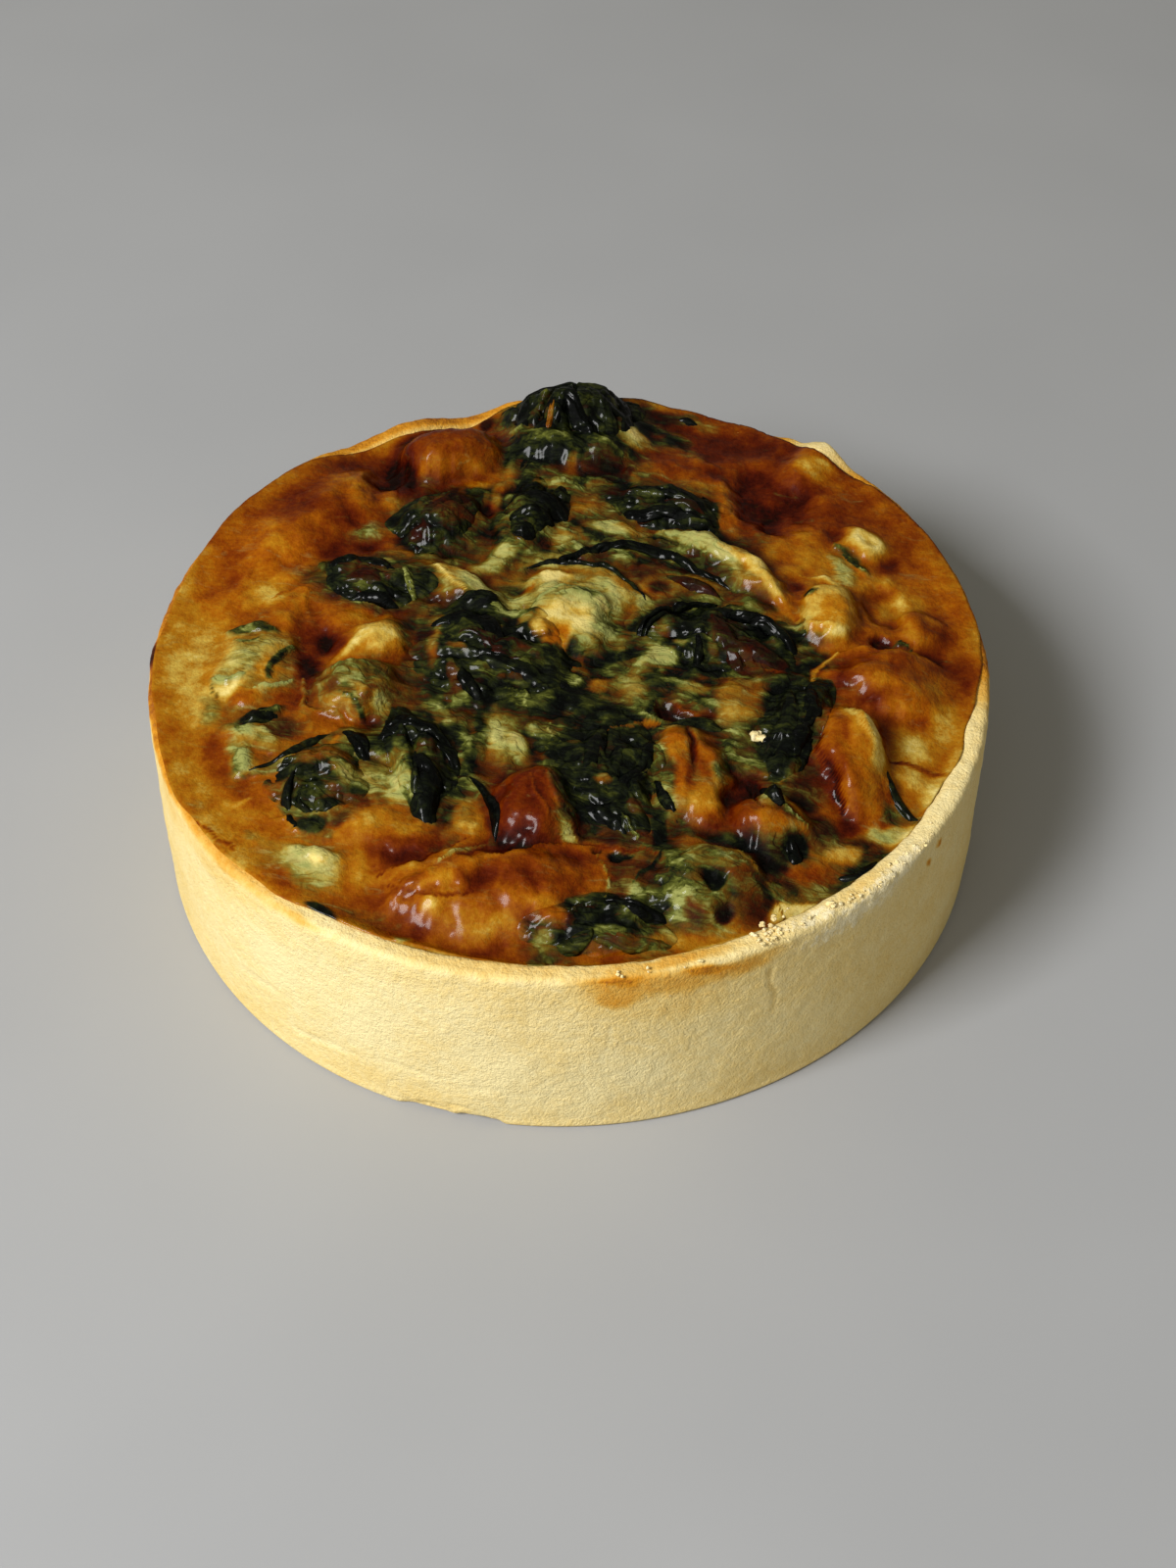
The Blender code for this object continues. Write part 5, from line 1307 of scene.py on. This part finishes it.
def make_crumbs(material):
    points, faces, count = [], [], 0
    for number, place in enumerate(crumb_places()):
        crumb_points, crumb_faces = make_crumb(*place, CRUMB_SEED + number)
        points.append(crumb_points)
        faces += [tuple(p + count for p in face) for face in crumb_faces]
        count += len(crumb_points)
    piece = new_piece("crumbs", np.concatenate(points), faces, material)
    give_paint(piece, np.tile(CASE_PALETTE["crumb"], (count, 1)))


# ---------------------------------------------------------------- materials
# Colours from pale to burnt, and from the lightest leaf to the darkest.
BAKE_RAMP = (
    (0.00, (0.56, 0.45, 0.15)),
    (0.15, (0.41, 0.27, 0.042)),
    (0.30, (0.295, 0.122, 0.004)),
    (0.45, (0.225, 0.060, 0.0005)),
    (0.60, (0.143, 0.024, 0.0001)),
    (0.75, (0.080, 0.0078, 0.0001)),
    (0.90, (0.032, 0.0018, 0.0001)),
    (1.00, (0.006, 0.0008, 0.0002)),
)
LEAF_RAMP = (
    (0.00, (0.275, 0.285, 0.080)),
    (0.20, (0.102, 0.110, 0.017)),
    (0.40, (0.032, 0.036, 0.005)),
    (0.60, (0.009, 0.012, 0.003)),
    (0.80, (0.0020, 0.0030, 0.0015)),
    (1.00, (0.0006, 0.0009, 0.0008)),
)
CASE_RAMP = (
    (0.00, (0.88, 0.74, 0.38)),
    (0.20, (0.82, 0.61, 0.23)),
    (0.38, (0.72, 0.43, 0.09)),
    (0.55, (0.62, 0.26, 0.014)),
    (0.70, (0.30, 0.085, 0.004)),
    (0.85, (0.11, 0.020, 0.002)),
    (1.00, (0.02, 0.003, 0.001)),
)
FLOUR = (0.90, 0.78, 0.48)


class Graph:
    """Short forms for building a material's nodes."""

    def __init__(self, name):
        self.material = bpy.data.materials.new(name)
        self.material.use_nodes = True
        self.nodes = self.material.node_tree.nodes
        self.links = self.material.node_tree.links
        self.shader = self.nodes["Principled BSDF"]

    def put(self, socket, value):
        if isinstance(value, bpy.types.NodeSocket):
            self.links.new(value, socket)
        else:
            socket.default_value = value

    def math(self, operation, first, second=0.0, clamp=False):
        node = self.nodes.new("ShaderNodeMath")
        node.operation = operation
        node.use_clamp = clamp
        self.put(node.inputs[0], first)
        self.put(node.inputs[1], second)
        return node.outputs[0]

    def plus(self, first, second, clamp=False):
        return self.math("ADD", first, second, clamp)

    def less(self, first, second):
        return self.math("SUBTRACT", first, second)

    def times(self, first, second):
        return self.math("MULTIPLY", first, second)

    def ramp(self, value, stops):
        node = self.nodes.new("ShaderNodeValToRGB")
        self.put(node.inputs[0], value)
        elements = node.color_ramp.elements
        while len(elements) < len(stops):
            elements.new(0.5)
        for element, (place, colour) in zip(elements, stops):
            element.position = place
            element.color = (*colour, 1.0)
        return node.outputs[0]

    def range(self, value, low, high, to_low=0.0, to_high=1.0):
        node = self.nodes.new("ShaderNodeMapRange")
        self.put(node.inputs[0], value)
        for socket, number in zip(node.inputs[1:5], (low, high, to_low, to_high)):
            self.put(socket, number)
        return node.outputs[0]

    def mix(self, share, first, second, blend="MIX"):
        node = self.nodes.new("ShaderNodeMix")
        node.data_type = "RGBA"
        node.blend_type = blend
        self.put(node.inputs[0], share)
        for socket, colour in zip(node.inputs[6:8], (first, second)):
            self.put(socket, colour if isinstance(colour, bpy.types.NodeSocket) else (*colour, 1.0))
        return node.outputs[2]

    def noise(self, scale, detail=3.0, roughness=0.55, distortion=0.0, stretch=1.0, turn=0.0):
        """Noise with about scale mm for each bump, stretched along a turn in degrees."""
        node = self.nodes.new("ShaderNodeTexNoise")
        place = self.nodes.new("ShaderNodeTexCoord")
        mapped = self.nodes.new("ShaderNodeMapping")
        mapped.vector_type = "TEXTURE"
        mapped.inputs["Rotation"].default_value = (0.0, 0.0, math.radians(turn))
        mapped.inputs["Scale"].default_value = (stretch, 1.0, 1.0)
        self.links.new(place.outputs["Object"], mapped.inputs["Vector"])
        self.links.new(mapped.outputs[0], node.inputs["Vector"])
        node.inputs["Scale"].default_value = 1.0 / (scale * MM)
        node.inputs["Detail"].default_value = detail
        node.inputs["Roughness"].default_value = roughness
        node.inputs["Distortion"].default_value = distortion
        return node.outputs[0]

    def change(self, *settings):
        """Noise about 0."""
        return self.less(self.noise(*settings), 0.5)

    def tint(self, value):
        """One value as an even grey."""
        node = self.nodes.new("ShaderNodeCombineColor")
        for socket in node.inputs[:3]:
            self.put(socket, value)
        return node.outputs[0]

    def bump(self, height, distance, strength=1.0):
        node = self.nodes.new("ShaderNodeBump")
        node.inputs["Strength"].default_value = strength
        node.inputs["Distance"].default_value = distance * MM
        self.put(node.inputs["Height"], height)
        self.links.new(node.outputs[0], self.shader.inputs["Normal"])

    def painted(self):
        """The three paint values."""
        layer = self.nodes.new("ShaderNodeAttribute")
        layer.attribute_name = PAINT
        split = self.nodes.new("ShaderNodeSeparateColor")
        self.links.new(layer.outputs["Color"], split.inputs[0])
        return split.outputs[:3]


def top_material(name):
    """Baked custard and spinach, from the paint: how browned, how leafy, how dark the leaf."""
    g = Graph(name)
    bake, green, dark = g.painted()
    mottle = g.change(3.2, 4.0, 0.6)
    speck = g.change(0.6, 3.0, 0.65)
    strand = g.change(1.5, 3.0, 0.6, 1.2, 2.6, FOLD_RUN)
    crease = g.change(2.6, 2.0, 0.5, 1.0, 2.0, FOLD_RUN)
    crease = g.range(g.math("ABSOLUTE", crease), 0.0, 0.07)
    spots = g.plus(g.times(mottle, 0.56), g.times(speck, 0.26))
    streak = g.plus(g.times(spots, 0.7), g.times(strand, 1.2))
    # painted shade: darker leaf colour along the crease lines that the bump sinks
    streak = g.less(streak, g.times(crease, 0.16))
    glow = g.range(dark, 0.0, 1.0, 1.38, 0.55)
    baked = g.ramp(g.plus(bake, spots, clamp=True), BAKE_RAMP)
    baked = g.mix(1.0, baked, g.tint(glow), "MULTIPLY")
    leafy = g.ramp(g.plus(g.plus(dark, 0.12), streak, clamp=True), LEAF_RAMP)
    share = g.range(g.less(green, g.times(strand, 0.9)), 0.08, 0.78)
    g.put(g.shader.inputs["Base Color"], g.mix(share, baked, leafy))
    g.shader.inputs["Roughness"].default_value = 0.5
    g.shader.inputs["Specular IOR Level"].default_value = 0.02
    g.shader.inputs["Coat Weight"].default_value = 0.18
    g.shader.inputs["Coat Roughness"].default_value = 0.15
    fine = g.plus(g.noise(1.9, 5.0, 0.66), g.times(speck, 0.7))
    folded = g.plus(g.times(strand, 1.6), g.times(crease, 0.5))
    g.bump(g.plus(fine, g.times(share, folded)), 0.42, 0.6)
    return g.material


def crust_material():
    """Short pastry, from the paint: how toasted, how floury."""
    g = Graph("crust")
    toast, flour = g.painted()[:2]
    patchy = g.change(8.0, 4.0, 0.6)
    fine = g.change(0.9, 4.0, 0.7)
    crumb = g.change(0.35, 2.0, 0.6)
    spots = g.plus(g.times(patchy, 0.34), g.times(fine, 0.34))
    colour = g.ramp(g.plus(toast, spots, clamp=True), CASE_RAMP)
    dusty = g.range(g.plus(flour, g.times(fine, 2.2)), 0.35, 0.75)
    g.put(g.shader.inputs["Base Color"], g.mix(dusty, colour, FLOUR))
    g.shader.inputs["Roughness"].default_value = 0.8
    g.shader.inputs["Specular IOR Level"].default_value = 0.15
    g.bump(g.plus(fine, g.times(crumb, 0.6)), 0.35, 0.8)
    return g.material


# ---------------------------------------------------------------- set: camera, floor and light
CAMERA_AIM = Vector((2.515, 3.612, 0.0)) * MM
CAMERA_PITCH = math.radians(47.011)
CAMERA_DISTANCE = 332.45 * MM
CAMERA_ROLL = 0.00799
CAMERA_LENS = 54.0
CAMERA_SENSOR = 36.0
FLOOR_HALF = 3.0
FLOOR_RAMP = ((0.3, (0.35, 0.355, 0.365)), (0.7, (0.37, 0.375, 0.385)))
SKY_COLOUR = (1.0, 0.94, 0.76, 1.0)
SKY_STRENGTH = 0.24
# Lights: name, azimuth, elevation, distance and size in m, power.
LIGHTS = (("key", 218, 45, 0.9, 0.30, 9.0), ("fill", 250, 30, 1.2, 1.2, 2.2))


def make_camera():
    data = bpy.data.cameras.new("camera")
    data.lens = CAMERA_LENS
    data.sensor_width = CAMERA_SENSOR
    data.clip_start = 0.01
    camera = bpy.data.objects.new("camera", data)
    bpy.context.scene.collection.objects.link(camera)
    ahead = Vector((0.0, math.cos(CAMERA_PITCH), -math.sin(CAMERA_PITCH)))
    camera.location = CAMERA_AIM - ahead * CAMERA_DISTANCE
    camera.rotation_mode = "QUATERNION"
    tilt = Quaternion((1.0, 0.0, 0.0), math.pi / 2 - CAMERA_PITCH)
    camera.rotation_quaternion = tilt @ Quaternion((0.0, 0.0, 1.0), CAMERA_ROLL)
    bpy.context.scene.camera = camera


def make_floor():
    mesh = bpy.data.meshes.new("floor")
    corners = [(x * FLOOR_HALF, y * FLOOR_HALF, 0) for x, y in ((-1, -1), (1, -1), (1, 1), (-1, 1))]
    mesh.from_pydata(corners, [], [(0, 1, 2, 3)])
    g = Graph("floor")
    g.put(g.shader.inputs["Base Color"], g.ramp(g.noise(60.0, 2.0), FLOOR_RAMP))
    g.shader.inputs["Roughness"].default_value = 0.75
    mesh.materials.append(g.material)
    floor = bpy.data.objects.new("floor", mesh)
    bpy.context.scene.collection.objects.link(floor)


def area_light(name, azimuth, elevation, distance, size, power):
    data = bpy.data.lights.new(name, "AREA")
    data.size = size
    data.energy = power
    lamp = bpy.data.objects.new(name, data)
    bpy.context.scene.collection.objects.link(lamp)
    a, e = math.radians(azimuth), math.radians(elevation)
    way = Vector((math.cos(a) * math.cos(e), math.sin(a) * math.cos(e), math.sin(e)))
    lamp.location = way * distance
    lamp.rotation_mode = "QUATERNION"
    lamp.rotation_quaternion = way.to_track_quat("Z", "Y")


def make_light():
    world = bpy.data.worlds.new("studio")
    world.use_nodes = True
    background = world.node_tree.nodes["Background"]
    background.inputs["Color"].default_value = SKY_COLOUR
    background.inputs["Strength"].default_value = SKY_STRENGTH
    bpy.context.scene.world = world
    for settings in LIGHTS:
        area_light(*settings)
    bpy.context.scene.view_settings.view_transform = "Standard"


make_camera()
make_floor()
make_light()
crust = crust_material()
make_case(crust)
make_crumbs(crust)
make_custard(top_material("custard"))
spinach = top_material("spinach")
for clump in CLUMPS:
    make_clump(clump, spinach)
make_loose_leaves(spinach)
